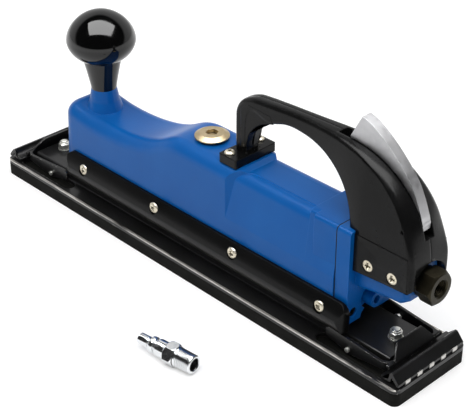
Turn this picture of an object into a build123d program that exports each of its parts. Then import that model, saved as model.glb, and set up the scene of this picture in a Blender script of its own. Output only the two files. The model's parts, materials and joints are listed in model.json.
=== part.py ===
from build123d import *
import math
import os

os.makedirs("parts", exist_ok=True)

# Frame: X runs towards the air inlet, Z up, origin at the middle of the sanding face.
# All lengths are millimetres, all angles degrees.

# Clearances and cutter overrun
slide_gap = 0.3
running_gap = 0.03
pin_gap = 0.05
seat_gap = 0.1
overrun = 2.0

# Shoe: rubber pad, pressed channel and their fasteners
pad_length = 406.0
pad_width = 70.0
pad_thickness = 10.0
pad_corner = 5.0
sheet_gauge = 2.8
channel_width = 39.0
channel_height = 10.0
channel_inset = 19.5
channel_bend = 2.0
channel_foot_bend = 1.0
stud_inset = 30.5
stud_radius = 2.5
stud_head_radius = 8.0
stud_head_thickness = 2.5
stud_tail = 0.8
spacer_wall = 3.0
washer_radius = 5.0
washer_thickness = 1.0
nut_width = 8.0
nut_height = 5.6
nut_collar_height = 1.2
nut_collar_radius = 3.6

# Sheet clips at both ends of the shoe
clip_pin_inset = 47.5
clip_pin_rise = 2.2
clip_pin_radius = 1.75
clip_pin_overhang = 1.6
clip_gauge = 2.0
clip_arm_offset = 26.0
clip_tail_reach = 19.5
clip_tail_height = 7.0
clip_tail_rise = 2.3
clip_wall_height = 5.4
clip_wall_reach = 33.5
clip_corner = 8.0
clip_ring_length = 32.0
clip_jaw_width = 64.0
clip_jaw_rise = 6.0
clip_jaw_reach = 46.6
clip_tab_width = 24.0
clip_tab_flare = 7.0
clip_tab_height = 8.4
clip_tab_lean = 5.6
tooth_count = 5
tooth_pitch = 11.6
tooth_width = 4.2
tooth_height = 1.6
slot_length = 62.0
slot_width = 10.0
slot_inset = 43.0
spring_wire = 0.8
spring_turns = 2
spring_pitch = 0.95

# Housing casting
front_reach = 137.0
housing_length = 274.6
housing_width = 46.0
deck_cover = 21.0
saddle_drop = 19.3
saddle_shares = ((0.80, 0.45), (0.58, 0.88), (0.32, 1.01))
saddle_end_slope_share = 0.4
nose_lean = 9.5
nose_corner = 11.0
nose_drop = 15.0
deck_start = 128.0
waist_width = 36.4
waist_drop = 38.0
waist_start = 176.0
waist_run = 16.0
front_shoulder = 9.5
rear_shoulder = 7.6
rear_shoulder_stop = 25.1
deck_dip = 2.0
deck_dip_run = 4.0
deck_ledge = 0.5
flank_corner = 3.0
flange_length = 19.0
flange_width = 43.8
flange_corner = 3.0
boss_offset = 21.1
boss_rise = 12.3
boss_neck_radius = 9.5
boss_foot_radius = 14.5
boss_flare_share = 0.333
boss_foot_drop = 6.2

# Cylinders, pinion and slide, all inside the housing
bore_floor = 21.5
rack_offset = 2.0
bore_radius = 11.0
lower_bore_start = 32.0
upper_bore_start = 102.0
stroke = 25.0
gear_module = 1.25
pinion_teeth = 16
pinion_offset = 157.0
pinion_width = 15.0
pinion_shaft_radius = 4.0
pinion_shaft_length = 34.0
bush_wall = 1.4
gear_backlash = 0.35
tooth_addendum_share = 0.9
tooth_dedendum_share = 1.25
pressure_angle = 20.0
tooth_flank_points = 3
gear_chamber_margin = 1.5
rack_flat_margin = 1.0
piston_front_room = 4.5
piston_rear_room = 9.1
piston_hollow_radius = 6.5
piston_hollow_depth = 52.0
ring_width = 2.0
ring_depth = 1.6
ring_inset = 5.0
ring_pitch = 6.0
plug_radius = 7.0
plug_thickness = 5.0
plug_socket = 5.0
spool_drop = 5.0
spool_radius = 5.0
spool_length = 34.0
spool_travel = 6.0
spool_land = 7.0
spool_lands = 3
spool_waist_radius = 3.2
retainer_thickness = 4.0
retainer_hole_radius = 2.0

# Slide between shoe and housing
carriage_front_inset = 23.0
carriage_rear_inset = 15.6
neck_width = 24.0
neck_height = 4.6
tee_width = 36.0
tee_height = 5.4
key_length = 20.0
key_width = 14.0
key_pocket = 2.5
key_rise = 5.0
carriage_screw_radius = 2.5
carriage_screw_head_radius = 4.6
carriage_screw_head_height = 2.4
carriage_screw_length = 8.0
carriage_screw_shares = (-0.42, -0.14, 0.14, 0.42)
strip_width = 7.5
strip_thickness = 1.2

# Side guides along the foot of the housing
guide_front_inset = 5.5
guide_rear_reach = 15.4
guide_rise = 14.5
guide_rim = 2.0
guide_bulge = 31.0
guide_bulge_rise = 3.5
guide_drop = 5.0
guide_bottom_inset = 2.2
guide_tuck_bulge = 0.55
guide_end_corner = 7.0
lip_height = 2.9
lip_bottom_gap = 1.0
lip_shadow = 20.6
guide_rear_inset = 4.25
guide_screw_count = 4
guide_screw_start = 22.5
guide_screw_end = 20.8
guide_screw_rise = 6.5
guide_screw_lift = 2.2
guide_screw_shank = 2.0
guide_screw_head = 4.3
guide_screw_head_height = 2.2
guide_screw_depth = 8.0
guide_screw_seat = 28.4

# Knob on the front boss
knob_radius = 24.5
knob_centre_rise = 40.7
knob_crown = 21.0
knob_neck_hollow = 0.4
knob_throat_rise = 19.2
knob_stud_radius = 4.0
knob_stud_depth = 12.0
knob_stud_rise = 28.0

# Filler cap on the deck
cap_offset = 139.2
cap_radius = 12.2
cap_rim_height = 0.9
cap_cone_height = 2.0
cap_top_radius = 8.6
cap_socket = 8.0
cap_socket_depth = 4.0
cap_washer_radius = 10.2
cap_washer_thickness = 1.9
cap_thread_radius = 7.0
cap_thread_length = 6.5

# Rear head, its gasket and screws
gasket_thickness = 0.8
head_thickness = 10.9
head_width = 43.8
head_drop = 3.5
head_arch_width = 17.0
head_arch_rise = 7.0
head_screw_low_rise = 4.4
head_screw_high_drop = 7.5
head_screw_low_side = 15.8
head_screw_high_side = 15.0
head_screw_radius = 2.0
head_screw_head_radius = 3.3
head_screw_head_height = 4.0
head_screw_recess = 5.2
head_screw_length = 14.0
head_screw_socket = 3.0
port_rise = 9.5
port_boss_radius = 5.6
port_boss_reach = 6.0
port_radius = 3.0
port_recess_radius = 8.6
port_recess_depth = 2.5
tongue_width = 29.6
tongue_rise = 14.5
tongue_root_drop = 19.5
tongue_belly_drop = 15.5
tongue_reach = 41.0
tongue_edge = 4.0
tongue_belly_share = 0.58
inlet_drop = 24.5
tongue_chin = 6.0
tongue_chin_drop = 4.5

# Inlet bushing and screen
thread_bore_radius = 5.7
thread_bore_length = 15.5
head_passage_radius = 4.6
bushing_width = 20.6
bushing_reach = 10.5
bushing_collar_radius = 10.2
bushing_collar_length = 3.0
bushing_thread_radius = 8.5
bushing_thread_length = 12.0
bushing_chamfer = 1.4
bushing_mouth = 0.9
screen_thickness = 1.0
screen_hole_radius = 0.8
screen_ring_share = 0.55
screen_ring_holes = 6

# Throttle valve in the tongue
valve_lever_arm = 17.8
valve_stem_radius = 1.8
valve_head_radius = 4.6
valve_head_height = 3.0
valve_stem_rise = 4.7
valve_bore_radius = 5.4
seat_radius = 6.6
seat_height = 7.0
seat_throat_radius = 3.2
seat_guide_height = 3.0
valve_plug_radius = 6.6
valve_plug_height = 5.0
valve_plug_socket = 5.0
valve_spring_radius = 3.6
valve_spring_wire = 0.8
valve_spring_turns = 5

# Handle
foot_length = 16.4
foot_width = 37.4
foot_height = 6.4
foot_corner = 1.2
foot_offset = 165.6
foot_screw_side = 13.6
foot_screw_inset = 5.4
foot_screw_radius = 2.0
foot_screw_head = 3.7
foot_screw_head_height = 2.2
foot_screw_length = 12.0
tenon_length = 7.0
tenon_width = 13.0
tenon_inset = 7.0
leg_front = 1.9
cheek_overhang = 4.9
grip_rise_share = 0.2793
leg_depth = 11.6
grip_width = 36.4
grip_round = 3.4
cheek_tail_round = 3.0
grip_throat_round = 2.4
cheek_bottom_drop = 4.0
cheek_tail_drop = 1.5
arch_radius = 15.2
cheek_plate_rise = 0.4
cheek_plate_top = 1.5
cheek_plate_edge = 3.6
cheek_screw_head = 4.1
cheek_screw_radius = 1.9
cheek_screw_length = 7.0
cheek_screw_rise = 4.5
cheek_screw_shares = (0.2805, 0.7512)
cheek_screw_sink = 2.2
grip_top_shares = (
    (0.0486, 0.8478),
    (0.1184, 0.9283),
    (0.3005, 0.9783),
    (0.5313, 1.0043),
    (0.6649, 0.9761),
    (0.7863, 0.8435),
    (0.8774, 0.6217),
    (0.9381, 0.3717),
    (0.9806, 0.0348),
    (0.9994, -0.4435),
)
grip_under_shares = (
    (0.660, 0.165),
    (0.628, 0.339),
    (0.575, 0.502),
    (0.516, 0.617),
    (0.446, 0.700),
    (0.361, 0.743),
    (0.270, 0.726),
    (0.176, 0.654),
)
grip_lip_share = 0.683
grip_lip_slope_share = -0.12
leg_top_share = 0.546
leg_rear_share = 0.30
grip_station_shares = (0.00, 0.18, 0.36, 0.48, 0.60, 0.70, 0.745)
grip_low_shares = (0.352, 0.352, 0.352, 0.495, 0.73, 0.93, 0.967)
grip_waist_shares = (0.352, 0.352, 0.352, 0.495, 0.74, 0.95, 0.989)
grip_crown_shares = (0.352, 0.352, 0.352, 0.410, 0.52, 0.59, 0.604)

# Throttle lever and its pin
lever_width = 7.4
lever_slot_gap = 0.5
lever_pin_back = 10.4
lever_pin_rise = 14.5
lever_pin_radius = 1.6
lever_pin_length = 30.0
lever_tail_radius = 4.4
lever_span = 60.0
lever_rise = 60.0
lever_spine_shares = (
    (-0.775, 0.915),
    (-0.660, 0.875),
    (-0.450, 0.740),
    (-0.250, 0.565),
    (-0.130, 0.435),
    (-0.030, 0.270),
    (0.048, 0.090),
)
lever_under_shares = (
    (-0.063, -0.083),
    (-0.230, -0.158),
    (-0.310, -0.155),
    (-0.447, -0.042),
    (-0.922, 0.642),
)
slot_floor_shares = (
    (0.200, 0.900),
    (-1.070, 0.900),
    (-1.070, 0.410),
    (-0.720, 0.110),
    (-0.470, -0.165),
    (-0.370, -0.235),
    (-0.020, -0.235),
    (0.062, -0.130),
    (0.200, -0.130),
)

# Air nipple lying beside the tool
nipple_x = 46.4
nipple_y = -106.8
nipple_turn = 7.9
nipple_hex_width = 14.3
nipple_hex_length = 8.0
nipple_nose_radius = 4.0
nipple_nose_length = 8.4
nipple_groove_radius = 3.3
nipple_groove_length = 1.4
nipple_ball_radius = 5.7
nipple_ball_length = 4.4
nipple_ball_round = 1.45
nipple_neck_radius = 4.6
nipple_neck_length = 1.8
nipple_body_radius = 6.1
nipple_body_length = 8.0
nipple_thread_radius = 6.8
nipple_thread_end_radius = 6.4
nipple_thread_length = 14.0
nipple_bore_radius = 4.4
nipple_tip_bore_radius = 2.8
nipple_chamfer = 0.6

# Levels worked out from the sizes above, from the sanding face upwards
travel = stroke / 2
pitch_radius = gear_module * pinion_teeth / 2
flange_top = pad_thickness + sheet_gauge
channel_top = pad_thickness + channel_height
clip_pin_height = flange_top + clip_pin_rise
neck_top = channel_top + neck_height
tee_top = neck_top + tee_height
base_height = tee_top + strip_thickness + slide_gap
lower_axis = base_height + bore_floor
pinion_z = lower_axis + rack_offset + pitch_radius
upper_axis = pinion_z + pitch_radius + rack_offset
deck_height = upper_axis + deck_cover
spool_axis_height = upper_axis - spool_drop
nose_height = deck_height - nose_drop
boss_height = nose_height + boss_rise
boss_foot_height = nose_height - boss_foot_drop
waist_height = deck_height - waist_drop
guide_top = base_height + guide_rise
guide_bulge_height = base_height + guide_bulge_rise
guide_bottom = base_height - guide_drop
guide_screw_height = base_height + guide_screw_rise
head_bottom = base_height - head_drop
head_screw_low = base_height + head_screw_low_rise
head_screw_high = deck_height - head_screw_high_drop
port_height = base_height + port_rise
foot_top = deck_height + foot_height
valve_stem_top = deck_height + valve_stem_rise
lever_pin_height = deck_height + lever_pin_rise
inlet_height = deck_height - inlet_drop
tongue_top = inlet_height + tongue_rise
tongue_root = inlet_height - tongue_root_drop
tongue_belly = inlet_height - tongue_belly_drop
cheek_bottom = inlet_height - cheek_bottom_drop
cheek_tail = inlet_height - cheek_tail_drop
cheek_screw_height = inlet_height + cheek_screw_rise

# Stations along the tool, and lengths between them
channel_length = pad_length - 2 * channel_inset
stud_span = pad_length - 2 * stud_inset
clip_pin_span = pad_length - 2 * clip_pin_inset
slot_offset = pad_length / 2 - slot_inset
housing_front = -front_reach
housing_rear = housing_length - front_reach
head_face = housing_rear + gasket_thickness
head_rear = head_face + head_thickness
tongue_end = head_rear + tongue_reach
boss_x = housing_front + boss_offset
cap_x = housing_front + cap_offset
pinion_x = housing_front + pinion_offset
foot_x = housing_front + foot_offset
leg_x = foot_x + leg_front
grip_rear = tongue_end + cheek_overhang
grip_span = grip_rear - leg_x
grip_rise = grip_span * grip_rise_share
lever_pin_x = grip_rear - lever_pin_back
valve_x = lever_pin_x - valve_lever_arm
piston_rear = housing_rear - piston_rear_room - travel
lower_piston_front = housing_front + lower_bore_start + piston_front_room + travel
upper_piston_front = housing_front + upper_bore_start + piston_front_room + travel
guide_start = housing_front + guide_front_inset
guide_length = housing_rear + guide_rear_reach - guide_start
guide_screw_pitch = (guide_length - guide_screw_start - guide_screw_end) / (guide_screw_count - 1)
carriage_start = housing_front + carriage_front_inset
carriage_end = housing_rear - carriage_rear_inset
carriage_length = carriage_end - carriage_start
carriage_centre = (carriage_start + carriage_end) / 2
guide_inner = housing_width / 2 + seat_gap

right_angle = 90
hexagon_sides = 6
hexagon_half_angle = 30
half_way_share = 0.5
edge_probe_shares = (0.1, 0.5, 0.9)


def outline(*points):
    """A flat face bounded by straight lines through the points."""
    return make_face(Polyline(*points, close=True))


def side_prism(face, width, middle=0.0):
    """Extrudes a face drawn in X and Z to both sides of the plane y = middle."""
    return Pos(0, middle + width / 2, 0) * extrude(Plane.XZ * face, amount=width)


def plan_prism(face, bottom, top):
    """Extrudes a face drawn in X and Y from one height to another."""
    return Pos(0, 0, bottom) * extrude(face, amount=top - bottom)


def end_prism(face, start, end):
    """Extrudes a face drawn in Y and Z along X."""
    return Pos(start, 0, 0) * extrude(Plane.YZ * face, amount=end - start)


def rod_x(radius, start, end, y, z):
    """A cylinder along X."""
    return Pos((start + end) / 2, y, z) * Rot(0, right_angle, 0) * Cylinder(radius, end - start)


def rod_y(radius, start, end, x, z):
    """A cylinder along Y."""
    return Pos(x, (start + end) / 2, z) * Rot(right_angle, 0, 0) * Cylinder(radius, end - start)


def rod_z(radius, bottom, top, x, y):
    """An upright cylinder."""
    return Pos(x, y, (bottom + top) / 2) * Cylinder(radius, top - bottom)


def block(x0, x1, y0, y1, z0, z1):
    """A box between two corners."""
    return Pos((x0 + x1) / 2, (y0 + y1) / 2, (z0 + z1) / 2) * Box(x1 - x0, y1 - y0, z1 - z0)


def cone_z(low_radius, high_radius, bottom, top, x, y):
    """An upright cone between two heights."""
    return Pos(x, y, (bottom + top) / 2) * Cone(low_radius, high_radius, top - bottom)


def hexagon(width):
    """A regular hexagon with the given width across its flats."""
    return RegularPolygon(width / 2, hexagon_sides, major_radius=False)


def far_side(piece):
    """The mirror image across the tool's middle plane."""
    return mirror(piece, about=Plane.XZ)


def save(name, *solids):
    """Writes one node."""
    kept = []
    for solid in solids:
        kept.extend(solid.solids())
    export_step(Compound(children=kept) if len(kept) > 1 else kept[0], "parts/" + name + ".step")


# Shoe


def rounded_plate(length, width, corner):
    return RectangleRounded(length, width, corner)


def backing_pad():
    pad = plan_prism(rounded_plate(pad_length, pad_width, pad_corner), 0, pad_thickness)
    for side in (-1, 1):
        pocket_bottom = pad_thickness - stud_head_thickness - seat_gap
        pad -= rod_z(stud_head_radius + seat_gap, pocket_bottom, pad_thickness + overrun,
                     side * stud_span / 2, 0)
    return pad


def shoe_channel():
    half = channel_width / 2
    plate = plan_prism(rounded_plate(pad_length, pad_width, pad_corner), pad_thickness, flange_top)
    raised = block(-channel_length / 2, channel_length / 2, -half, half, pad_thickness, channel_top)
    top_edges = raised.edges().filter_by(Axis.X).group_by(Axis.Z)[-1]
    raised = fillet(top_edges, channel_bend)
    inner = half - sheet_gauge
    hollow = block(-channel_length / 2 - overrun, channel_length / 2 + overrun, -inner, inner,
                   pad_thickness - overrun, channel_top - sheet_gauge)
    body = plate + raised
    foot_edges = body.edges().filter_by(Axis.X).filter_by(
        lambda e: abs(abs(e.center().Y) - half) < running_gap and abs(e.center().Z - flange_top) < running_gap)
    body = fillet(foot_edges, channel_foot_bend)
    body -= hollow
    for end in (-1, 1):
        for side in (-1, 1):
            slot = SlotOverall(slot_length, slot_width)
            body -= plan_prism(Pos(end * slot_offset, side * clip_arm_offset) * slot,
                               pad_thickness - overrun, flange_top + overrun)
        body -= rod_z(stud_radius + seat_gap, pad_thickness, channel_top + overrun, end * stud_span / 2, 0)
        body -= rod_y(clip_pin_radius, -pad_width / 2, pad_width / 2, end * clip_pin_span / 2,
                      clip_pin_height)
    for share in carriage_screw_shares:
        x = carriage_centre + share * carriage_length
        body -= rod_z(carriage_screw_radius + seat_gap, channel_top - sheet_gauge - overrun,
                      channel_top + overrun, x, 0)
    return body


def pad_stud(x):
    head = rod_z(stud_head_radius, pad_thickness - stud_head_thickness, pad_thickness, x, 0)
    tip = channel_top + washer_thickness + nut_height + stud_tail
    return head + rod_z(stud_radius, pad_thickness, tip, x, 0)


def stud_spacer(x):
    tube = rod_z(stud_radius + spacer_wall, pad_thickness, channel_top - sheet_gauge, x, 0)
    return tube - rod_z(stud_radius, pad_thickness - overrun, channel_top, x, 0)


def stud_washer(x):
    top = channel_top + washer_thickness
    return rod_z(washer_radius, channel_top, top, x, 0) - rod_z(stud_radius, channel_top - overrun,
                                                                top + overrun, x, 0)


def shoe_nut(x):
    bottom = channel_top + washer_thickness
    shoulder = bottom + nut_height - nut_collar_height
    nut = plan_prism(Pos(x, 0) * hexagon(nut_width), bottom, shoulder)
    nut += rod_z(nut_collar_radius, shoulder, bottom + nut_height, x, 0)
    return nut - rod_z(stud_radius, bottom - overrun, bottom + nut_height + overrun, x, 0)


# Sheet clips: drawn for the rear end, mirrored for the front


def clip_arm(side):
    """One side arm: a strip on edge from its rounded tail over the pin to the cross wall."""
    pin_x = clip_pin_span / 2
    low = clip_pin_height
    tail_x = pin_x - clip_tail_reach
    front_x = pin_x + clip_wall_reach - clip_corner
    face = outline(
        (tail_x, low + clip_tail_rise),
        (pin_x, low - 2 * clip_pin_radius),
        (front_x, low + seat_gap),
        (front_x, low + clip_wall_height),
        (tail_x + clip_tail_height / 2, low + clip_tail_height + clip_gauge),
        (tail_x, low + clip_tail_height),
    )
    return side_prism(face, clip_gauge, side * (clip_arm_offset - clip_gauge / 2))


def clip_body():
    """Cross wall with its rounded corners, finger tab, sloped jaw and teeth."""
    pin_x = clip_pin_span / 2
    wall_x = pin_x + clip_wall_reach
    low = clip_pin_height + seat_gap
    high = clip_pin_height + clip_wall_height
    outer = clip_arm_offset
    inner = outer - clip_gauge
    ring = RectangleRounded(clip_ring_length, 2 * outer, clip_corner)
    hole = RectangleRounded(clip_ring_length - 2 * clip_gauge, 2 * inner, clip_corner - clip_gauge)
    wall = plan_prism(Pos(wall_x - clip_ring_length / 2, 0) * (ring - hole), low, high)
    wall -= block(wall_x - clip_ring_length - overrun, wall_x - clip_corner, -pad_width, pad_width, 0,
                  deck_height)
    jaw_tip = pin_x + clip_jaw_reach
    jaw_low = flange_top + tooth_height
    jaw_high = jaw_low + clip_jaw_rise
    jaw_face = outline(
        (wall_x - clip_gauge, jaw_high),
        (wall_x - clip_gauge, jaw_high - clip_gauge),
        (jaw_tip - clip_gauge, jaw_low),
        (jaw_tip, jaw_low),
        (jaw_tip, jaw_low + clip_gauge),
        (wall_x, jaw_high),
    )
    jaw = side_prism(jaw_face, clip_jaw_width)
    tab_half = clip_tab_width / 2
    foot_half = tab_half + clip_tab_flare
    tab_top = high + clip_tab_height
    tab_face = outline((-foot_half, low), (foot_half, low), (foot_half, high), (tab_half, tab_top),
                       (-tab_half, tab_top), (-foot_half, high))
    tab = end_prism(tab_face, wall_x - clip_tab_lean - clip_gauge, wall_x)
    lean = outline(
        (wall_x - clip_gauge, low),
        (wall_x, low),
        (wall_x, high),
        (wall_x - clip_tab_lean + clip_gauge / 2, tab_top),
        (wall_x - clip_tab_lean - clip_gauge / 2, tab_top),
        (wall_x - clip_gauge, high),
    )
    tab = tab & side_prism(lean, pad_width)
    body = wall + jaw + tab
    for index in range(tooth_count):
        y = (index - (tooth_count - 1) / 2) * tooth_pitch
        point = outline((y - tooth_width / 2, jaw_low + clip_gauge / 2),
                        (y + tooth_width / 2, jaw_low + clip_gauge / 2),
                        (y, flange_top))
        body += end_prism(point, jaw_tip - clip_gauge, jaw_tip)
    return body


def sheet_clip():
    clip = clip_body() + clip_arm(-1) + clip_arm(1)
    bore = clip_pin_radius + pin_gap
    return clip - rod_y(bore, -pad_width, pad_width, clip_pin_span / 2, clip_pin_height)


def clip_pin():
    half = clip_arm_offset + clip_pin_overhang
    return rod_y(clip_pin_radius, -half, half, clip_pin_span / 2, clip_pin_height)


def clip_spring(side):
    """A torsion spring on the pin, between the channel and one arm."""
    height = spring_pitch * spring_turns
    coil = Helix(spring_pitch, height, clip_pin_radius + spring_wire)
    section = Plane(origin=coil @ 0, z_dir=coil % 0) * Circle(spring_wire / 2)
    wound = sweep(section, path=coil, is_frenet=True)
    slot_inner = clip_arm_offset - slot_width / 2
    middle = (slot_inner + clip_arm_offset - clip_gauge) / 2
    return Pos(clip_pin_span / 2, side * middle - height / 2, clip_pin_height) * Rot(-right_angle, 0,
                                                                                     0) * wound


# Slide


def carriage():
    half = carriage_length / 2
    start = carriage_centre - half
    end = carriage_centre + half
    bar = block(start, end, -neck_width / 2, neck_width / 2, channel_top, neck_top)
    bar += block(start, end, -tee_width / 2, tee_width / 2, neck_top, tee_top)
    bar -= block(-key_length / 2, key_length / 2, -key_width / 2, key_width / 2, tee_top - key_pocket,
                 tee_top + overrun)
    for share in carriage_screw_shares:
        x = carriage_centre + share * carriage_length
        bar -= rod_z(carriage_screw_radius, channel_top - overrun, channel_top + carriage_screw_length, x, 0)
    return bar


def carriage_screw(x):
    under = channel_top - sheet_gauge
    head = rod_z(carriage_screw_head_radius, under - carriage_screw_head_height, under, x, 0)
    head -= plan_prism(Pos(x, 0) * hexagon(2 * carriage_screw_radius),
                       under - carriage_screw_head_height - overrun,
                       under - carriage_screw_head_height / 2)
    return head + rod_z(carriage_screw_radius, under, channel_top + carriage_screw_length - seat_gap, x, 0)


def drive_key():
    top = lower_axis - bore_radius + key_rise
    return block(-key_length / 2, key_length / 2, -key_width / 2, key_width / 2, tee_top - key_pocket, top)


def wear_strip(side):
    middle = side * (tee_width / 2 - strip_width / 2)
    return block(guide_start + guide_rim, housing_rear - guide_rear_inset, middle - strip_width / 2,
                 middle + strip_width / 2, base_height - strip_thickness, base_height)


# Pistons, pinion and reversing spool


def rack_tooth_gap(x, pitch_height, up):
    """The space between two rack teeth, widened by the backlash. up is 1 for teeth that point up."""
    addendum = gear_module * tooth_addendum_share
    dedendum = gear_module * tooth_dedendum_share
    slope = math.tan(math.radians(pressure_angle))
    half = (math.pi * gear_module / 2 + gear_backlash) / 2
    mouth = half + (addendum + overrun) * slope
    root = half - dedendum * slope
    high = pitch_height + up * (addendum + overrun)
    low = pitch_height - up * dedendum
    face = outline((x - mouth, high), (x + mouth, high), (x + root, low), (x - root, low))
    return side_prism(face, 2 * bore_radius + overrun)


def piston(axis, start, up):
    """A floating piston with a rack cut into the side that faces the pinion."""
    body = rod_x(bore_radius - running_gap, start, piston_rear, 0, axis)
    pitch_height = pinion_z - up * pitch_radius
    tip = pitch_height + up * gear_module * tooth_addendum_share
    reach = travel + 2 * math.pi * gear_module
    flat = travel + pitch_radius + gear_module + gear_chamber_margin + rack_flat_margin
    cut_low, cut_high = sorted((tip, axis + up * (bore_radius + overrun)))
    body -= block(pinion_x - flat, pinion_x + flat, -bore_radius - overrun, bore_radius + overrun,
                  cut_low, cut_high)
    pitch = math.pi * gear_module
    count = int(reach / pitch)
    for index in range(-count, count + 1):
        body -= rack_tooth_gap(pinion_x + index * pitch, pitch_height, up)
    body -= rod_x(piston_hollow_radius, piston_rear - piston_hollow_depth, piston_rear + overrun, 0, axis)
    for groove in piston_rings(axis, start, seat_gap):
        body -= groove
    return body


def piston_rings(axis, start, margin):
    """Two rings near the rear end and, on the lower piston, two near the front."""
    rings = []
    outer = bore_radius - running_gap
    inner = outer - ring_depth
    ends = [piston_rear - ring_inset - ring_pitch, piston_rear - ring_inset]
    if axis == lower_axis:
        ends += [start + ring_inset, start + ring_inset + ring_pitch]
    for x in ends:
        rim = outer + (overrun if margin else 0)
        ring = rod_x(rim, x - ring_width / 2, x + ring_width / 2, 0, axis)
        ring -= rod_x(inner, x - ring_width, x + ring_width, 0, axis)
        rings.append(ring)
    return rings


def lower_piston():
    body = piston(lower_axis, lower_piston_front, 1)
    body -= rod_x(piston_hollow_radius, lower_piston_front - overrun,
                  lower_piston_front + piston_hollow_depth, 0,
                  lower_axis)
    floor = lower_axis - bore_radius
    body -= block(-key_length / 2, key_length / 2, -key_width / 2, key_width / 2, floor - overrun,
                  floor + key_rise)
    return body


def upper_piston():
    return piston(upper_axis, upper_piston_front, -1)


def involute_point(base_radius, roll, turn):
    """A point of an involute of the base circle, turned about the centre."""
    x = base_radius * (math.cos(roll) + roll * math.sin(roll))
    y = base_radius * (math.sin(roll) - roll * math.cos(roll))
    return (x * math.cos(turn) - y * math.sin(turn), x * math.sin(turn) + y * math.cos(turn))


def pinion():
    alpha = math.radians(pressure_angle)
    base = pitch_radius * math.cos(alpha)
    outer = pitch_radius + gear_module * tooth_addendum_share
    root = pitch_radius - gear_module * tooth_dedendum_share
    half_tooth = (math.pi * gear_module / 2 - gear_backlash) / 2 / pitch_radius
    lean = math.tan(alpha) - alpha
    start_turn = half_tooth + lean
    roll_top = math.sqrt((outer / base) ** 2 - 1)
    blank = Circle(root)
    for index in range(pinion_teeth):
        turn = 2 * math.pi * index / pinion_teeth
        rising = [involute_point(base, roll_top * step / (tooth_flank_points - 1), -start_turn)
                  for step in range(tooth_flank_points)]
        falling = [(x, -y) for x, y in reversed(rising)]
        foot = root * math.cos(start_turn) - seat_gap
        foot_side = root * math.sin(start_turn)
        edge = [(foot, -foot_side)] + rising + falling + [(foot, foot_side)]
        blank += Rot(0, 0, math.degrees(turn)) * outline(*edge)
    wheel = side_prism(blank, pinion_width)
    wheel = Pos(pinion_x, 0, pinion_z) * wheel
    return wheel - rod_y(pinion_shaft_radius + bush_wall, -pinion_width, pinion_width, pinion_x, pinion_z)


def pinion_bush():
    half = pinion_width / 2
    bush = rod_y(pinion_shaft_radius + bush_wall, -half, half, pinion_x, pinion_z)
    return bush - rod_y(pinion_shaft_radius + running_gap, -pinion_width, pinion_width, pinion_x, pinion_z)


def pinion_shaft():
    half = pinion_shaft_length / 2
    return rod_y(pinion_shaft_radius, -half, half, pinion_x, pinion_z)


def shaft_plug():
    outer = housing_width / 2 - seat_gap
    plug = rod_y(plug_radius, outer - plug_thickness, outer, pinion_x, pinion_z)
    socket = Pos(pinion_x, outer, pinion_z) * extrude(Plane.XZ * hexagon(plug_socket),
                                                      amount=plug_thickness / 2)
    return plug - socket


def reversing_spool():
    start = spool_start()
    end = start + spool_length
    radius = spool_radius - running_gap
    spool = rod_x(spool_waist_radius, start, end, 0, spool_axis_height)
    gap = (spool_length - spool_land) / (spool_lands - 1)
    for index in range(spool_lands):
        x = start + index * gap
        spool += rod_x(radius, x, x + spool_land, 0, spool_axis_height)
    return spool


def spool_start():
    return housing_front + upper_bore_start - retainer_thickness - spool_travel / 2 - spool_length


def spool_retainer():
    end = housing_front + upper_bore_start
    ring = rod_x(spool_radius, end - retainer_thickness, end, 0, spool_axis_height)
    return ring - rod_x(retainer_hole_radius, end - 2 * retainer_thickness, end + overrun, 0,
                        spool_axis_height)


# Housing casting


def housing_profile():
    """The side view: leaning nose, saddle behind the knob, rise to the deck and square rear end."""
    nose_top_x = housing_front + nose_lean
    top = Spline(
        (housing_front + deck_start, deck_height),
        *[(housing_front + deck_start * along, deck_height - saddle_drop * down) for along,
          down in saddle_shares],
        (nose_top_x, nose_height),
        tangents=((-1, 0), (-1, saddle_end_slope_share)),
    )
    rest = Polyline(
        (nose_top_x, nose_height),
        (housing_front, base_height),
        (housing_rear, base_height),
        (housing_rear, deck_height),
        (housing_front + deck_start, deck_height),
    )
    return make_face(top + rest)


def flank_cut(side, level, corner, ledge, start, end):
    """What lies outside the leaning flank and its rounded top corner, between two stations."""
    half = housing_width / 2
    waist = waist_width / 2
    lean = (half - waist) / (deck_height - waist_height)
    flat = waist - corner
    peak = level - ledge
    bend_low = peak - corner
    bend_side = waist + lean * corner
    top = deck_height + overrun
    turn = math.radians(right_angle / 2)
    shoulder = ThreePointArc(
        (side * bend_side, bend_low),
        (side * (flat + (bend_side - flat) * math.sin(turn)), bend_low + corner * math.cos(turn)),
        (side * flat, peak),
    )
    rest = Polyline(
        (side * flat, peak),
        (side * flat, top),
        (side * (half + overrun), top),
        (side * (half + overrun), waist_height),
        (side * half, waist_height),
        (side * bend_side, bend_low),
    )
    return end_prism(make_face(shoulder + rest), start, end)


def waist_cut(side):
    """Takes the upper flank of the rear section in, behind a slanted step, with a wide shoulder beside the dip."""
    half = housing_width / 2
    start = housing_front + waist_start
    stop = housing_rear - rear_shoulder_stop
    end = housing_rear + overrun
    far = side * (half + 2 * overrun)
    flat = waist_width / 2 - rear_shoulder
    flank = flank_cut(side, deck_height - deck_dip, rear_shoulder, deck_ledge, start, stop)
    flank += flank_cut(side, deck_height, flank_corner, 0, stop, end)
    plan = outline((start, side * half), (start + waist_run, side * flat), (start + waist_run, 0), (end, 0),
                   (end, far), (start, far))
    return flank & plan_prism(plan, base_height, deck_height + 2 * overrun)


def dip_cut():
    """The shallow dip of the deck between the handle's foot and the rear end."""
    start = foot_x + foot_length + overrun
    stop = housing_rear - rear_shoulder_stop
    low = deck_height - deck_dip
    face = outline((start, deck_height), (start + deck_dip_run, low), (stop, low),
                   (stop, deck_height + overrun),
                   (start, deck_height + overrun))
    return side_prism(face, 2 * housing_width)


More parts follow.
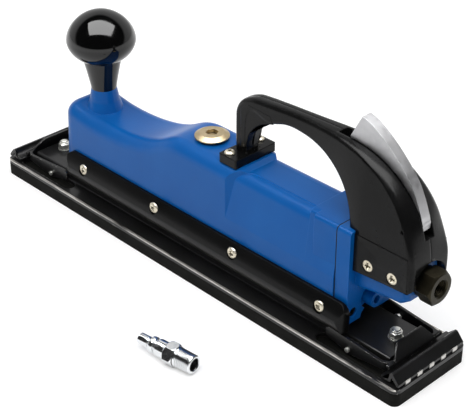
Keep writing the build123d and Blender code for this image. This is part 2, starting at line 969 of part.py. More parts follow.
def housing_shell():
    half = housing_width / 2
    body = side_prism(housing_profile(), housing_width)
    nose_edges = [e for e in body.edges() if on_flank(e, half) and is_nose_edge(e)]
    body = fillet(nose_edges, nose_corner)
    rim = [e for e in body.edges() if is_top_edge(e)]
    body = fillet(rim, front_shoulder)
    for side in (-1, 1):
        body -= waist_cut(side)
    return body - dip_cut()


def on_flank(edge, half):
    return abs(abs(edge.position_at(half_way_share).Y) - half) < running_gap


def is_nose_edge(edge):
    """The two leaning front corners."""
    low = min(edge.position_at(0).Z, edge.position_at(1).Z)
    high = max(edge.position_at(0).Z, edge.position_at(1).Z)
    return edge.position_at(half_way_share).X < housing_front + nose_lean and high - low > base_height


def is_top_edge(edge):
    """The upper rim, apart from the edges that cross the rear end."""
    low = min(edge.position_at(0).Z, edge.position_at(1).Z)
    level = low > deck_height - saddle_drop - front_shoulder
    crossing = on_crossing(edge)
    return level and not crossing


def on_crossing(edge):
    """Edges that lie straight across the tool behind the nose."""
    start, end = edge.position_at(0), edge.position_at(1)
    across = abs(start.X - end.X) < running_gap
    return across and start.X > housing_front + nose_lean + nose_corner


def housing():
    body = housing_shell()
    flange_start = housing_rear - flange_length
    flange_face = Pos(0, (base_height + deck_height) / 2) * RectangleRounded(
        flange_width, deck_height - base_height, flange_corner)
    body += end_prism(flange_face, flange_start, housing_rear)
    flare = (boss_foot_radius - boss_neck_radius) * boss_flare_share
    middle = (boss_foot_height + boss_height) / 2
    body += cone_z(boss_foot_radius, boss_neck_radius + flare, boss_foot_height, middle, boss_x, 0)
    body += cone_z(boss_neck_radius + flare, boss_neck_radius, middle, boss_height, boss_x, 0)
    body -= rod_x(bore_radius, housing_front + lower_bore_start, housing_rear + overrun, 0, lower_axis)
    body -= rod_x(bore_radius, housing_front + upper_bore_start, housing_rear + overrun, 0, upper_axis)
    outer = pitch_radius + gear_module + gear_chamber_margin
    body -= rod_y(outer, -pinion_width / 2 - slide_gap, pinion_width / 2 + slide_gap, pinion_x, pinion_z)
    slot_reach = key_length / 2 + travel + slide_gap
    slot_side = key_width / 2 + slide_gap
    body -= block(-slot_reach, slot_reach, -slot_side, slot_side, base_height - overrun, lower_axis)
    far = housing_width / 2
    body -= rod_y(pinion_shaft_radius, -pinion_shaft_length / 2, far, pinion_x, pinion_z)
    body -= rod_y(plug_radius, far - seat_gap - plug_thickness, far + overrun, pinion_x, pinion_z)
    spool_front = spool_start() - spool_travel / 2
    body -= rod_x(spool_radius, spool_front, housing_front + upper_bore_start + overrun, 0,
                  spool_axis_height)
    body -= rod_z(knob_stud_radius, boss_height - knob_stud_depth, boss_height + overrun, boss_x, 0)
    body -= rod_z(cap_thread_radius, deck_height - cap_thread_length - seat_gap, deck_height + overrun,
                  cap_x, 0)
    for x, y in foot_screw_places():
        body -= rod_z(foot_screw_radius, deck_height - foot_screw_length, deck_height + overrun, x, y)
    for x, z in guide_screw_places():
        for side in (-1, 1):
            y0, y1 = sorted((side * far + side * overrun,
                             side * (guide_screw_seat - guide_screw_depth - 2 * guide_rim)))
            body -= rod_y(guide_screw_shank, y0, y1, x, z)
    for y, z in head_screw_places():
        body -= rod_x(head_screw_radius, housing_rear - head_screw_length, housing_rear + overrun, y, z)
    return body


# Side guides


def guide_section():
    """Near guide in Y and Z: a bulging skin with a ledge under the housing and a lip under the slide."""
    inner = guide_inner
    tee_side = tee_width / 2 + slide_gap
    neck_side = neck_width / 2 + slide_gap
    lip_low = channel_top + lip_bottom_gap
    lip_top = lip_low + lip_height
    bulge = ThreePointArc(
        (-inner - guide_rim, guide_top),
        (-guide_bulge + guide_rim, (guide_top + guide_bulge_height) / 2),
        (-guide_bulge, guide_bulge_height),
    )
    tuck = ThreePointArc(
        (-guide_bulge, guide_bulge_height),
        (-guide_bulge + guide_tuck_bulge, (guide_bulge_height + guide_bottom) / 2),
        (-guide_bulge + guide_bottom_inset, guide_bottom),
    )
    rest = Polyline(
        (-guide_bulge + guide_bottom_inset, guide_bottom),
        (-lip_shadow, guide_bottom),
        (-lip_shadow, lip_low),
        (-neck_side, lip_low),
        (-neck_side, lip_top),
        (-tee_side, lip_top),
        (-tee_side, base_height),
        (-inner, base_height),
        (-inner, guide_top),
        (-inner - guide_rim, guide_top),
    )
    return make_face(bulge + tuck + rest)


def guide_screw_places():
    places = []
    for index in range(guide_screw_count):
        lift = guide_screw_lift if index in (1, 2) else 0
        places.append((guide_start + guide_screw_start + index * guide_screw_pitch,
                       guide_screw_height + lift))
    return places


def side_guide():
    start = guide_start
    end = guide_start + guide_length
    guide = end_prism(guide_section(), start, end)
    middle = (start + end) / 2
    height = guide_top - channel_top
    side_face = Pos(middle, guide_top - height) * RectangleRounded(guide_length, 2 * height,
                                                                   guide_end_corner)
    guide = guide & side_prism(side_face, 2 * pad_width)
    plan_face = RectangleRounded(guide_length, 2 * guide_bulge + seat_gap, guide_end_corner)
    guide = guide & plan_prism(Pos(middle, 0) * plan_face, 0, deck_height)
    clear = housing_rear - guide_rear_inset
    guide -= block(clear, end + overrun, -guide_inner, pad_width, 0, guide_top + overrun)
    for x, z in guide_screw_places():
        guide -= rod_y(guide_screw_head + seat_gap, -pad_width, -guide_screw_seat, x, z)
        guide -= rod_y(guide_screw_shank, -pad_width, 0, x, z)
    return guide


def guide_screw(x, z):
    head = rod_y(guide_screw_head, -guide_screw_seat - guide_screw_head_height, -guide_screw_seat, x, z)
    rim = head.edges().filter_by(GeomType.CIRCLE).sort_by(Axis.Y)[0]
    head = fillet(rim, guide_screw_head_height / 2)
    tip = guide_screw_seat - guide_screw_depth - guide_rim
    return head + rod_y(guide_screw_shank, -guide_screw_seat, -tip, x, z)


# Knob and filler cap


def knob():
    centre = boss_height + knob_centre_rise
    throat = boss_height + knob_throat_rise
    low = math.sqrt(knob_radius ** 2 - (centre - throat) ** 2)
    diagonal = math.cos(math.radians(right_angle / 2))
    neck = ThreePointArc(
        (boss_neck_radius, boss_height),
        ((boss_neck_radius + low) / 2 - knob_neck_hollow, (boss_height + throat) / 2),
        (low, throat),
    )
    under_turn = math.atan2(centre - throat, low) / 2
    bowl = ThreePointArc(
        (low, throat),
        (knob_radius * math.cos(under_turn), centre - knob_radius * math.sin(under_turn)),
        (knob_radius, centre),
    )
    crown = Spline(
        (knob_radius, centre),
        (knob_radius * diagonal, centre + knob_crown * diagonal),
        (0, centre + knob_crown),
        tangents=((0, 1), (-1, 0)),
    )
    axis_line = Polyline((0, centre + knob_crown), (0, boss_height), (boss_neck_radius, boss_height))
    face = make_face(neck + bowl + crown + axis_line)
    body = Pos(boss_x, 0, 0) * revolve(Plane.XZ * face, Axis.Z)
    return body - rod_z(knob_stud_radius, boss_height - overrun, boss_height + knob_stud_rise, boss_x, 0)


def knob_stud():
    return rod_z(knob_stud_radius, boss_height - knob_stud_depth, boss_height + knob_stud_rise, boss_x, 0)


def cap_washer():
    top = deck_height + cap_washer_thickness
    ring = rod_z(cap_washer_radius, deck_height, top, cap_x, 0)
    return ring - rod_z(cap_thread_radius, deck_height - overrun, top + overrun, cap_x, 0)


def filler_cap():
    low = deck_height + cap_washer_thickness
    rim = low + cap_rim_height
    top = rim + cap_cone_height
    cap = rod_z(cap_radius, low, rim, cap_x, 0)
    cap += cone_z(cap_radius, cap_top_radius, rim, top, cap_x, 0)
    cap -= plan_prism(Pos(cap_x, 0) * hexagon(cap_socket), top - cap_socket_depth, top + overrun)
    return cap + rod_z(cap_thread_radius, deck_height - cap_thread_length, low, cap_x, 0)


# Rear head with the valve tongue


def head_screw_places():
    places = []
    for side in (-1, 1):
        places.append((side * head_screw_low_side, head_screw_low))
        places.append((side * head_screw_high_side, head_screw_high))
    return places


def head_outline():
    half = head_width / 2
    middle = (head_bottom + deck_height) / 2
    face = Pos(0, middle) * RectangleRounded(head_width, deck_height - head_bottom, flange_corner)
    arch = Pos(0, head_bottom) * Ellipse(head_arch_width / 2, head_arch_rise)
    return face - arch


def tongue_profile():
    rear = tongue_end
    belly_x = head_rear + tongue_reach * tongue_belly_share
    chin = inlet_height - bushing_collar_radius - tongue_chin_drop
    return outline(
        (head_face + head_thickness / 2, tongue_root),
        (head_rear, tongue_root),
        (belly_x, tongue_belly),
        (rear - tongue_chin, chin + seat_gap),
        (rear, inlet_height - bushing_collar_radius),
        (rear, tongue_top - tongue_edge),
        (rear - tongue_edge, tongue_top),
        (head_face + head_thickness / 2, tongue_top),
    )


def tongue():
    body = side_prism(tongue_profile(), tongue_width)
    long_edges = [e for e in body.edges() if abs(abs(e.center().Y) - tongue_width / 2) < running_gap
                  and e.center().X > head_rear]
    return fillet(long_edges, tongue_edge)


def rear_head():
    body = end_prism(head_outline(), head_face, head_rear)
    body += tongue()
    body -= rod_x(port_recess_radius, head_rear - port_recess_depth, head_rear + overrun, 0, port_height)
    body += rod_x(port_boss_radius, head_rear - port_recess_depth, head_rear + port_boss_reach, 0,
                  port_height)
    body -= rod_x(port_radius, head_face - overrun, head_rear + port_boss_reach + overrun, 0, port_height)
    for y, z in head_screw_places():
        body -= rod_x(head_screw_radius + seat_gap, head_face - overrun, head_rear + overrun, y, z)
        body -= rod_x(head_screw_head_radius + seat_gap, head_rear - head_screw_recess,
                      head_rear + overrun, y, z)
    body -= rod_x(bushing_thread_radius, tongue_end - bushing_thread_length, tongue_end + overrun, 0,
                  inlet_height)
    body -= rod_x(head_passage_radius, valve_x, tongue_end, 0, inlet_height)
    body -= rod_z(valve_bore_radius, tongue_root, tongue_top - seat_height, valve_x, 0)
    body -= rod_z(seat_radius, tongue_top - seat_height, tongue_top + overrun, valve_x, 0)
    body -= rod_z(valve_plug_radius, 0, valve_plug_level() + valve_plug_height, valve_x, 0)
    tip = grip_width / 2 + cheek_plate_rise - cheek_screw_sink - cheek_screw_length
    for x in cheek_screw_stations():
        for side in (-1, 1):
            y0, y1 = sorted((side * tip, side * tongue_width))
            body -= rod_y(cheek_screw_radius, y0, y1, x, cheek_screw_height)
    return body


def valve_plug_level():
    """Bottom of the valve plug, at the tongue's lowest point along the plug."""
    return tongue_belly


def gasket():
    sheet = end_prism(head_outline(), housing_rear, head_face)
    sheet = sheet & end_prism(Pos(0, (base_height + deck_height) / 2) * Rectangle(
        head_width, deck_height - base_height), housing_rear - overrun, head_face + overrun)
    sheet -= rod_x(bore_radius, housing_rear - overrun, head_face + overrun, 0, lower_axis)
    sheet -= rod_x(bore_radius, housing_rear - overrun, head_face + overrun, 0, upper_axis)
    for y, z in head_screw_places():
        sheet -= rod_x(head_screw_radius + seat_gap, housing_rear - overrun, head_face + overrun, y, z)
    return sheet


def head_screw(y, z):
    seat = head_rear - head_screw_recess
    head = rod_x(head_screw_head_radius, seat, seat + head_screw_head_height, y, z)
    socket = end_prism(Pos(y, z) * hexagon(head_screw_socket), seat + head_screw_head_height / 2,
                       seat + head_screw_head_height + overrun)
    return head - socket + rod_x(head_screw_radius, housing_rear - head_screw_length + seat_gap, seat, y, z)


def inlet_bushing():
    root = tongue_end
    collar = root + bushing_collar_length
    end = collar + bushing_reach
    body = rod_x(bushing_thread_radius, root - bushing_thread_length + screen_thickness, root, 0,
                 inlet_height)
    body += rod_x(bushing_collar_radius, root, collar, 0, inlet_height)
    nut = end_prism(Pos(0, inlet_height) * hexagon(bushing_width), collar, end)
    corner_radius = bushing_width / 2 / math.cos(math.radians(hexagon_half_angle))
    crown = rod_x(corner_radius, collar, end - bushing_chamfer, 0, inlet_height)
    crown += Pos(end - bushing_chamfer / 2, 0, inlet_height) * Rot(0, right_angle, 0) * Cone(
        corner_radius, corner_radius - bushing_chamfer, bushing_chamfer)
    body += nut & crown
    body -= rod_x(head_passage_radius, root - bushing_thread_length - overrun, end, 0, inlet_height)
    body -= rod_x(thread_bore_radius, end - thread_bore_length, end + overrun, 0, inlet_height)
    mouth = Pos(end - bushing_mouth / 2, 0, inlet_height) * Rot(0, right_angle, 0) * Cone(
        thread_bore_radius, thread_bore_radius + bushing_mouth, bushing_mouth)
    return body - mouth


def inlet_screen():
    start = tongue_end - bushing_thread_length
    disc = rod_x(bushing_thread_radius - seat_gap, start, start + screen_thickness, 0, inlet_height)
    holes = [(0, 0)]
    for index in range(screen_ring_holes):
        turn = 2 * math.pi * index / screen_ring_holes
        ring = head_passage_radius * screen_ring_share
        holes.append((ring * math.cos(turn), ring * math.sin(turn)))
    for y, z in holes:
        disc -= rod_x(screen_hole_radius, start - overrun, start + overrun, y, inlet_height + z)
    return disc


# Throttle valve


def valve_seat():
    low = tongue_top - seat_height
    seat = rod_z(seat_radius, low, tongue_top, valve_x, 0)
    seat -= rod_z(seat_throat_radius, low - overrun, tongue_top - seat_guide_height, valve_x, 0)
    return seat - rod_z(valve_stem_radius + pin_gap, low, tongue_top + overrun, valve_x, 0)


def throttle_valve():
    low = tongue_top - seat_height
    head = rod_z(valve_head_radius, low - slide_gap - valve_head_height, low - slide_gap, valve_x, 0)
    return head + rod_z(valve_stem_radius, low - slide_gap, valve_stem_top, valve_x, 0)


def valve_spring():
    plug_top = valve_plug_level() + valve_plug_height
    head_low = tongue_top - seat_height - slide_gap - valve_head_height
    height = head_low - plug_top - 2 * valve_spring_wire
    coil = Helix(height / valve_spring_turns, height, valve_spring_radius)
    section = Plane(origin=coil @ 0, z_dir=coil % 0) * Circle(valve_spring_wire / 2)
    return Pos(valve_x, 0, plug_top + valve_spring_wire) * sweep(section, path=coil, is_frenet=True)


def valve_plug():
    low = valve_plug_level()
    plug = rod_z(valve_plug_radius, low, low + valve_plug_height, valve_x, 0)
    return plug - plan_prism(Pos(valve_x, 0) * hexagon(valve_plug_socket), low - overrun,
                             low + valve_plug_height / 2)


# Handle


def foot_screw_places():
    return [(foot_x + foot_screw_inset, side * foot_screw_side) for side in (-1, 1)]


def handle_foot():
    body = block(foot_x, foot_x + foot_length, -foot_width / 2, foot_width / 2, deck_height, foot_top)
    body = fillet(body.edges().filter_by(Axis.Z), foot_corner)
    start = foot_x + tenon_inset
    body -= block(start, start + tenon_length, -tenon_width / 2, tenon_width / 2, deck_height - overrun,
                  foot_top + overrun)
    for x, y in foot_screw_places():
        body -= rod_z(foot_screw_radius, deck_height - overrun, foot_top + overrun, x, y)
    return body


def foot_screw(x, y):
    head = rod_z(foot_screw_head, foot_top, foot_top + foot_screw_head_height, x, y)
    rim = head.edges().filter_by(GeomType.CIRCLE).sort_by(Axis.Z)[-1]
    head = fillet(rim, foot_screw_head_height / 2)
    return head + rod_z(foot_screw_radius, deck_height - foot_screw_length + seat_gap, foot_top, x, y)


def grip_point(share):
    along, up = share
    return (leg_x + along * grip_span, foot_top + up * grip_rise)


def tangent_arcs(start, direction, points):
    """A smooth chain of arcs through the points, each one leaving in the direction the last arrived."""
    chain = None
    for point in points:
        arc = TangentArc(start, point, tangent=direction)
        chain = arc if chain is None else chain + arc
        direction = tuple(arc % 1)[:2]
        start = point
    return chain


def grip_back():
    """The upper line of the bow, from the front leg over the grip to the rear."""
    points = [grip_point(share) for share in grip_top_shares]
    points.append((grip_rear, cheek_tail + cheek_tail_round))
    return tangent_arcs((leg_x, foot_top + grip_rise * leg_top_share), (0, 1), points)


def grip_belly():
    """The lower line of the bow, from the cheeks under the grip to the front leg."""
    under_points = [grip_point(share) for share in grip_under_shares]
    lip_x = leg_x + grip_span * grip_lip_share
    under_end = (leg_x + leg_depth, foot_top + grip_rise * leg_rear_share)
    lip = (lip_x, deck_height + seat_gap)
    return Spline(lip, *under_points, under_end, tangents=((grip_lip_slope_share, 1), (0, -1)))


def grip_profile():
    """Side view of the bow: front leg, arched grip and the deep rear cheeks."""
    back = grip_back()
    belly = grip_belly()
    leg_top = (leg_x, foot_top + grip_rise * leg_top_share)
    rear_foot = Polyline(
        (grip_rear, cheek_tail + cheek_tail_round),
        (grip_rear - cheek_tail_round, cheek_tail),
        (head_rear + seat_gap, cheek_bottom),
        (head_rear + seat_gap, deck_height + seat_gap),
        belly @ 0,
    )
    leg = Polyline(belly @ 1, (leg_x + leg_depth, foot_top), (leg_x, foot_top), leg_top)
    return make_face(back + rear_foot + belly + leg)


def grip_plan(width_shares, height):
    """Plan view of the bow at one height: narrow at the front leg and widening to the cheeks."""
    half = grip_width / 2
    side = [(leg_x + along * grip_span, half * wide) for along,
            wide in zip(grip_station_shares, width_shares)]
    far = Spline(*side, tangents=((1, 0), (1, 0)))
    near = Spline(*[(x, -y) for x, y in side], tangents=((1, 0), (1, 0)))
    end_x = grip_rear + overrun
    last = side[-1]
    back = Polyline(last, (end_x, last[1]), (end_x, -last[1]), (last[0], -last[1]))
    front = Line(side[0], (side[0][0], -side[0][1]))
    return Pos(0, 0, height) * make_face(far + back + near + front)


def grip_flanks():
    """The space between the bow's two side faces, upright at the cheeks and leaning in above them."""
    low = grip_plan(grip_low_shares, cheek_bottom - overrun)
    waist = grip_plan(grip_waist_shares, deck_height)
    crown = grip_plan(grip_crown_shares, foot_top + grip_rise + overrun)
    return loft([low, waist, crown])


def cheek_plate(side):
    """The flat raised field round the cheek screws."""
    base = grip_width / 2
    low = cheek_bottom + cheek_plate_edge
    high = deck_height - cheek_plate_top
    front = head_rear + seat_gap
    rear = grip_rear - cheek_plate_edge
    face = outline((front, cheek_bottom), (rear, low), (rear, high), (front, high))
    y0, y1 = sorted((side * (base - cheek_plate_edge), side * (base + cheek_plate_rise)))
    return side_prism(face, y1 - y0, (y0 + y1) / 2)


def lever_point(share):
    along, up = share
    return (lever_pin_x + along * lever_span, lever_pin_height + up * lever_rise)


def edges_along(body, line):
    """Edges of the body that follow a line of the side view on either flank."""
    path = Plane.XZ * Wire(line)
    found = []
    for edge in body.edges():
        spots = [edge.position_at(share) for share in edge_probe_shares]
        gaps = [path.distance_to(Vertex(spot.X, 0, spot.Z)) for spot in spots]
        aside = min(abs(spot.Y) for spot in spots) > running_gap
        if aside and max(gaps) < running_gap:
            found.append(edge)
    return found


def handle_bow():
    body = side_prism(grip_profile(), 2 * grip_width) & grip_flanks()
    body = fillet(edges_along(body, grip_back()), grip_round)
    body = fillet(edges_along(body, grip_belly()), grip_throat_round)
    for side in (-1, 1):
        body += cheek_plate(side)
    start = foot_x + tenon_inset
    body += block(start, start + tenon_length, -tenon_width / 2, tenon_width / 2, deck_height + seat_gap,
                  foot_top)
    half = tongue_width / 2 + seat_gap
    wall = tongue_end + seat_gap
    body -= block(head_rear - overrun, wall, -half, half, tongue_root, tongue_top + seat_gap)
    body -= rod_x(arch_radius, wall - overrun, grip_rear + overrun, 0, inlet_height)
    body -= block(wall - overrun, grip_rear + overrun, -arch_radius, arch_radius, tongue_root, inlet_height)
    slot = outline(*[lever_point(share) for share in slot_floor_shares])
    body -= side_prism(slot, lever_width + 2 * lever_slot_gap)
    body -= rod_y(lever_pin_radius, -grip_width, grip_width, lever_pin_x, lever_pin_height)
    body -= rod_z(valve_stem_radius + slide_gap, tongue_top, valve_stem_top + 2 * overrun, valve_x, 0)
    for x in cheek_screw_stations():
        body -= rod_y(cheek_screw_radius, -grip_width, grip_width, x, cheek_screw_height)
        for side in (-1, 1):
            seat = grip_width / 2 + cheek_plate_rise - cheek_screw_sink
            y0, y1 = sorted((side * seat, side * grip_width))
            body -= rod_y(cheek_screw_head + seat_gap, y0, y1, x, cheek_screw_height)
    return body


def handle_half(side):
    room = 2 * grip_width
    y0, y1 = sorted((0, side * room))
    return handle_bow() & block(0, 2 * grip_rear, y0, y1, 0, 2 * deck_height)


def cheek_screw_stations():
    return [head_rear + tongue_reach * share for share in cheek_screw_shares]


def cheek_screw(x, side):
    seat = grip_width / 2 + cheek_plate_rise - cheek_screw_sink
    y0, y1 = sorted((side * seat, side * (seat + cheek_screw_sink)))
    head = rod_y(cheek_screw_head, y0, y1, x, cheek_screw_height)
    tip = seat - cheek_screw_length
    y2, y3 = sorted((side * tip, side * seat))
    return head + rod_y(cheek_screw_radius, y2, y3, x, cheek_screw_height)


def lever_pin():
    half = lever_pin_length / 2
    return rod_y(lever_pin_radius, -half, half, lever_pin_x, lever_pin_height)


def throttle_lever():
    spine = [lever_point(share) for share in lever_spine_shares]
    under = [lever_point(share) for share in lever_under_shares]
    back = Spline(*spine[1:])
    face = make_face(Line(spine[0], spine[1]) + back + Polyline(spine[-1], *under, spine[0]))
    lever = side_prism(face, lever_width)
    lever += rod_y(lever_tail_radius, -lever_width / 2, lever_width / 2, lever_pin_x, lever_pin_height)
    return lever - rod_y(lever_pin_radius + pin_gap, -lever_width, lever_width, lever_pin_x,
                         lever_pin_height)


# Air nipple


def air_nipple():
    nose_end = nipple_nose_length
    groove_end = nose_end + nipple_groove_length
    ball_end = groove_end + nipple_ball_length
    neck_end = ball_end + nipple_neck_length
    barrel_end = neck_end + nipple_body_length
    hex_end = barrel_end + nipple_hex_length
    thread_end = hex_end + nipple_thread_length
    body = rod_x(nipple_nose_radius, 0, nose_end, 0, 0)
    body = chamfer(body.edges().sort_by(Axis.X)[0], nipple_chamfer)
    body += rod_x(nipple_groove_radius, nose_end, groove_end, 0, 0)
    ball = rod_x(nipple_ball_radius, groove_end, ball_end, 0, 0)
    body += fillet(ball.edges().filter_by(GeomType.CIRCLE), nipple_ball_round)
    body += rod_x(nipple_neck_radius, ball_end, neck_end, 0, 0)
    barrel = rod_x(nipple_body_radius, neck_end, barrel_end, 0, 0)
    body += chamfer(barrel.edges().sort_by(Axis.X)[0], nipple_chamfer)
    corner = nipple_hex_width / 2 / math.cos(math.radians(hexagon_half_angle))
    crown = rod_x(corner, barrel_end, hex_end, 0, 0)
    crown = chamfer(crown.edges().filter_by(GeomType.CIRCLE), 2 * nipple_chamfer)
    body += end_prism(hexagon(nipple_hex_width), barrel_end, hex_end) & crown
    cone = Cone(nipple_thread_radius, nipple_thread_end_radius, nipple_thread_length)
    thread = Pos((hex_end + thread_end) / 2, 0, 0) * Rot(0, right_angle, 0) * cone
    body += chamfer(thread.edges().sort_by(Axis.X)[-1], nipple_chamfer)
    body -= rod_x(nipple_tip_bore_radius, -overrun, thread_end, 0, 0)
    body -= rod_x(nipple_bore_radius, barrel_end, thread_end + overrun, 0, 0)
    return Pos(nipple_x, nipple_y, nipple_hex_width / 2) * Rot(0, 0, nipple_turn) * body


def main():
    ends = (-1, 1)
    save("backing_pad", backing_pad())
    save("shoe_channel", shoe_channel())
    save("pad_studs", *[pad_stud(end * stud_span / 2) for end in ends])
    save("stud_spacers", *[stud_spacer(end * stud_span / 2) for end in ends])
    save("stud_washers", *[stud_washer(end * stud_span / 2) for end in ends])
    save("shoe_nuts", *[shoe_nut(end * stud_span / 2) for end in ends])
    rear_clip = sheet_clip()
    save("rear_clip", rear_clip)
    save("front_clip", mirror(rear_clip, about=Plane.YZ))
    save("rear_clip_pin", clip_pin())
    save("front_clip_pin", mirror(clip_pin(), about=Plane.YZ))
    springs = [clip_spring(side) for side in ends]
    save("rear_clip_springs", *springs)
    save("front_clip_springs", *[mirror(spring, about=Plane.YZ) for spring in springs])
    save("carriage", carriage())
    save("carriage_screws", *[carriage_screw(carriage_centre + share * carriage_length)
                              for share in carriage_screw_shares])
    save("drive_key", drive_key())
    save("wear_strips", wear_strip(-1), wear_strip(1))
    save("lower_piston", lower_piston())
    save("lower_piston_rings", *piston_rings(lower_axis, lower_piston_front, 0))
    save("upper_piston", upper_piston())
    save("upper_piston_rings", *piston_rings(upper_axis, upper_piston_front, 0))
    save("pinion", pinion())
    save("pinion_bush", pinion_bush())
    save("pinion_shaft", pinion_shaft())
    save("shaft_plug", shaft_plug())
    save("reversing_spool", reversing_spool())
    save("spool_retainer", spool_retainer())
    save("housing", housing())
    near_guide = side_guide()
    save("side_guide_near", near_guide)
    save("side_guide_far", far_side(near_guide))
    near_screws = [guide_screw(x, z) for x, z in guide_screw_places()]
    save("guide_screws", *near_screws, *[far_side(screw) for screw in near_screws])
    save("knob", knob())
    save("knob_stud", knob_stud())
    save("filler_cap", filler_cap())
    save("filler_cap_washer", cap_washer())
    save("rear_head", rear_head())
    save("rear_head_gasket", gasket())
    save("rear_head_screws", *[head_screw(y, z) for y, z in head_screw_places()])
    save("inlet_bushing", inlet_bushing())
    save("inlet_screen", inlet_screen())
    save("valve_seat", valve_seat())
    save("throttle_valve", throttle_valve())
    save("valve_spring", valve_spring())
    save("valve_plug", valve_plug())
    save("handle_foot", handle_foot())
    save("handle_foot_screws", *[foot_screw(x, y) for x, y in foot_screw_places()])
    save("handle_near_half", handle_half(-1))
    save("handle_far_half", handle_half(1))
    save("handle_cheek_screws", *[cheek_screw(x, side) for x in cheek_screw_stations() for side in ends])
    save("lever_pin", lever_pin())
    save("throttle_lever", throttle_lever())
    save("air_nipple", air_nipple())


main()
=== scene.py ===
import json
import math

import bmesh
import bpy
from mathutils import Matrix, Vector
from mathutils.geometry import convex_hull_2d, intersect_point_line


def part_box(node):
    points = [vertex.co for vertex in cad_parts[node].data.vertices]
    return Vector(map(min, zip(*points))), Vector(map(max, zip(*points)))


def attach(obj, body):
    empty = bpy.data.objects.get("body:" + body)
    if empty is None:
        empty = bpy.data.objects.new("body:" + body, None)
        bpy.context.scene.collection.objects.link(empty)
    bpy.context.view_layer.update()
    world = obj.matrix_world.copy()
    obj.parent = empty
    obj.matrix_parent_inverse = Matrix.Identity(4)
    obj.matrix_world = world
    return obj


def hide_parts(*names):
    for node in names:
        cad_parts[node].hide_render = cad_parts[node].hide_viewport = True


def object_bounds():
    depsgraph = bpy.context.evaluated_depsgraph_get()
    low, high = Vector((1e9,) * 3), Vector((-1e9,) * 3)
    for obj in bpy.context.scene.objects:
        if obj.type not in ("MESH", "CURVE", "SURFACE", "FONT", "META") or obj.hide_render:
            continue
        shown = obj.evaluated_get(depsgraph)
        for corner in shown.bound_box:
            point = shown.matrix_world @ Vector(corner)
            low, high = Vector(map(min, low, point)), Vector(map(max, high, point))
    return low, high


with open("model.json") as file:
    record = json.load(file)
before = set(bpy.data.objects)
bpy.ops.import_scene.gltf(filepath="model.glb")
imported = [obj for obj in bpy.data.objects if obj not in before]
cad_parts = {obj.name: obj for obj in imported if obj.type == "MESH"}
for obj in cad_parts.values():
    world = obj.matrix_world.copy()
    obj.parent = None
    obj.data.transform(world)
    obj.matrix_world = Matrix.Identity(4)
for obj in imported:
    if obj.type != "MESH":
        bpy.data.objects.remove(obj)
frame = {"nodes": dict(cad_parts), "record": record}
cad_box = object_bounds()
nodes = frame["nodes"]
body_of = {node: body for body, held in frame["record"]["behaviour"]["bodies"].items() for node in held}
slot_of = {part["node"]: part["material_slot"] for part in frame["record"]["subparts"]}
scene = bpy.context.scene
MM = 0.001
quarter = math.pi / 2
white = (1, 1, 1, 1)
weld = 0.002 * MM
crease = math.radians(32)

# Camera, at the photograph's viewing angle

camera_place = Vector((0.5799, -0.5315, 0.5271))
camera_azimuth = math.radians(46.15)
camera_elevation = math.radians(31.75)
camera_roll = math.radians(-0.12)
camera_lens = 98.73
sensor_width = 36
clip_near = 0.05
clip_far = 20


def make_camera():
    back = Vector((
        math.sin(camera_azimuth) * math.cos(camera_elevation),
        -math.cos(camera_azimuth) * math.cos(camera_elevation),
        math.sin(camera_elevation),
    ))
    right = (-back).cross(Vector((0, 0, 1))).normalized()
    up = right.cross(-back)
    turned = right * math.cos(camera_roll) + up * math.sin(camera_roll)
    raised = up * math.cos(camera_roll) - right * math.sin(camera_roll)
    data = bpy.data.cameras.new("camera")
    data.sensor_width = sensor_width
    data.lens = camera_lens
    data.clip_start = clip_near
    data.clip_end = clip_far
    camera = bpy.data.objects.new("camera", data)
    scene.collection.objects.link(camera)
    pose = Matrix((turned, raised, back)).transposed().to_4x4()
    pose.translation = camera_place
    camera.matrix_world = pose
    scene.camera = camera


# Materials

grain_roughness = 0.55
coat_rough = 0.12
bare_rough = 0.38
paint_peel = 0.03 * MM


def any_of(tree, outputs):
    """The largest of several masks."""
    kept = outputs[0]
    for output in outputs[1:]:
        larger = tree.nodes.new("ShaderNodeMath")
        larger.operation = "MAXIMUM"
        tree.links.new(kept, larger.inputs[0])
        tree.links.new(output, larger.inputs[1])
        kept = larger.outputs[0]
    return kept


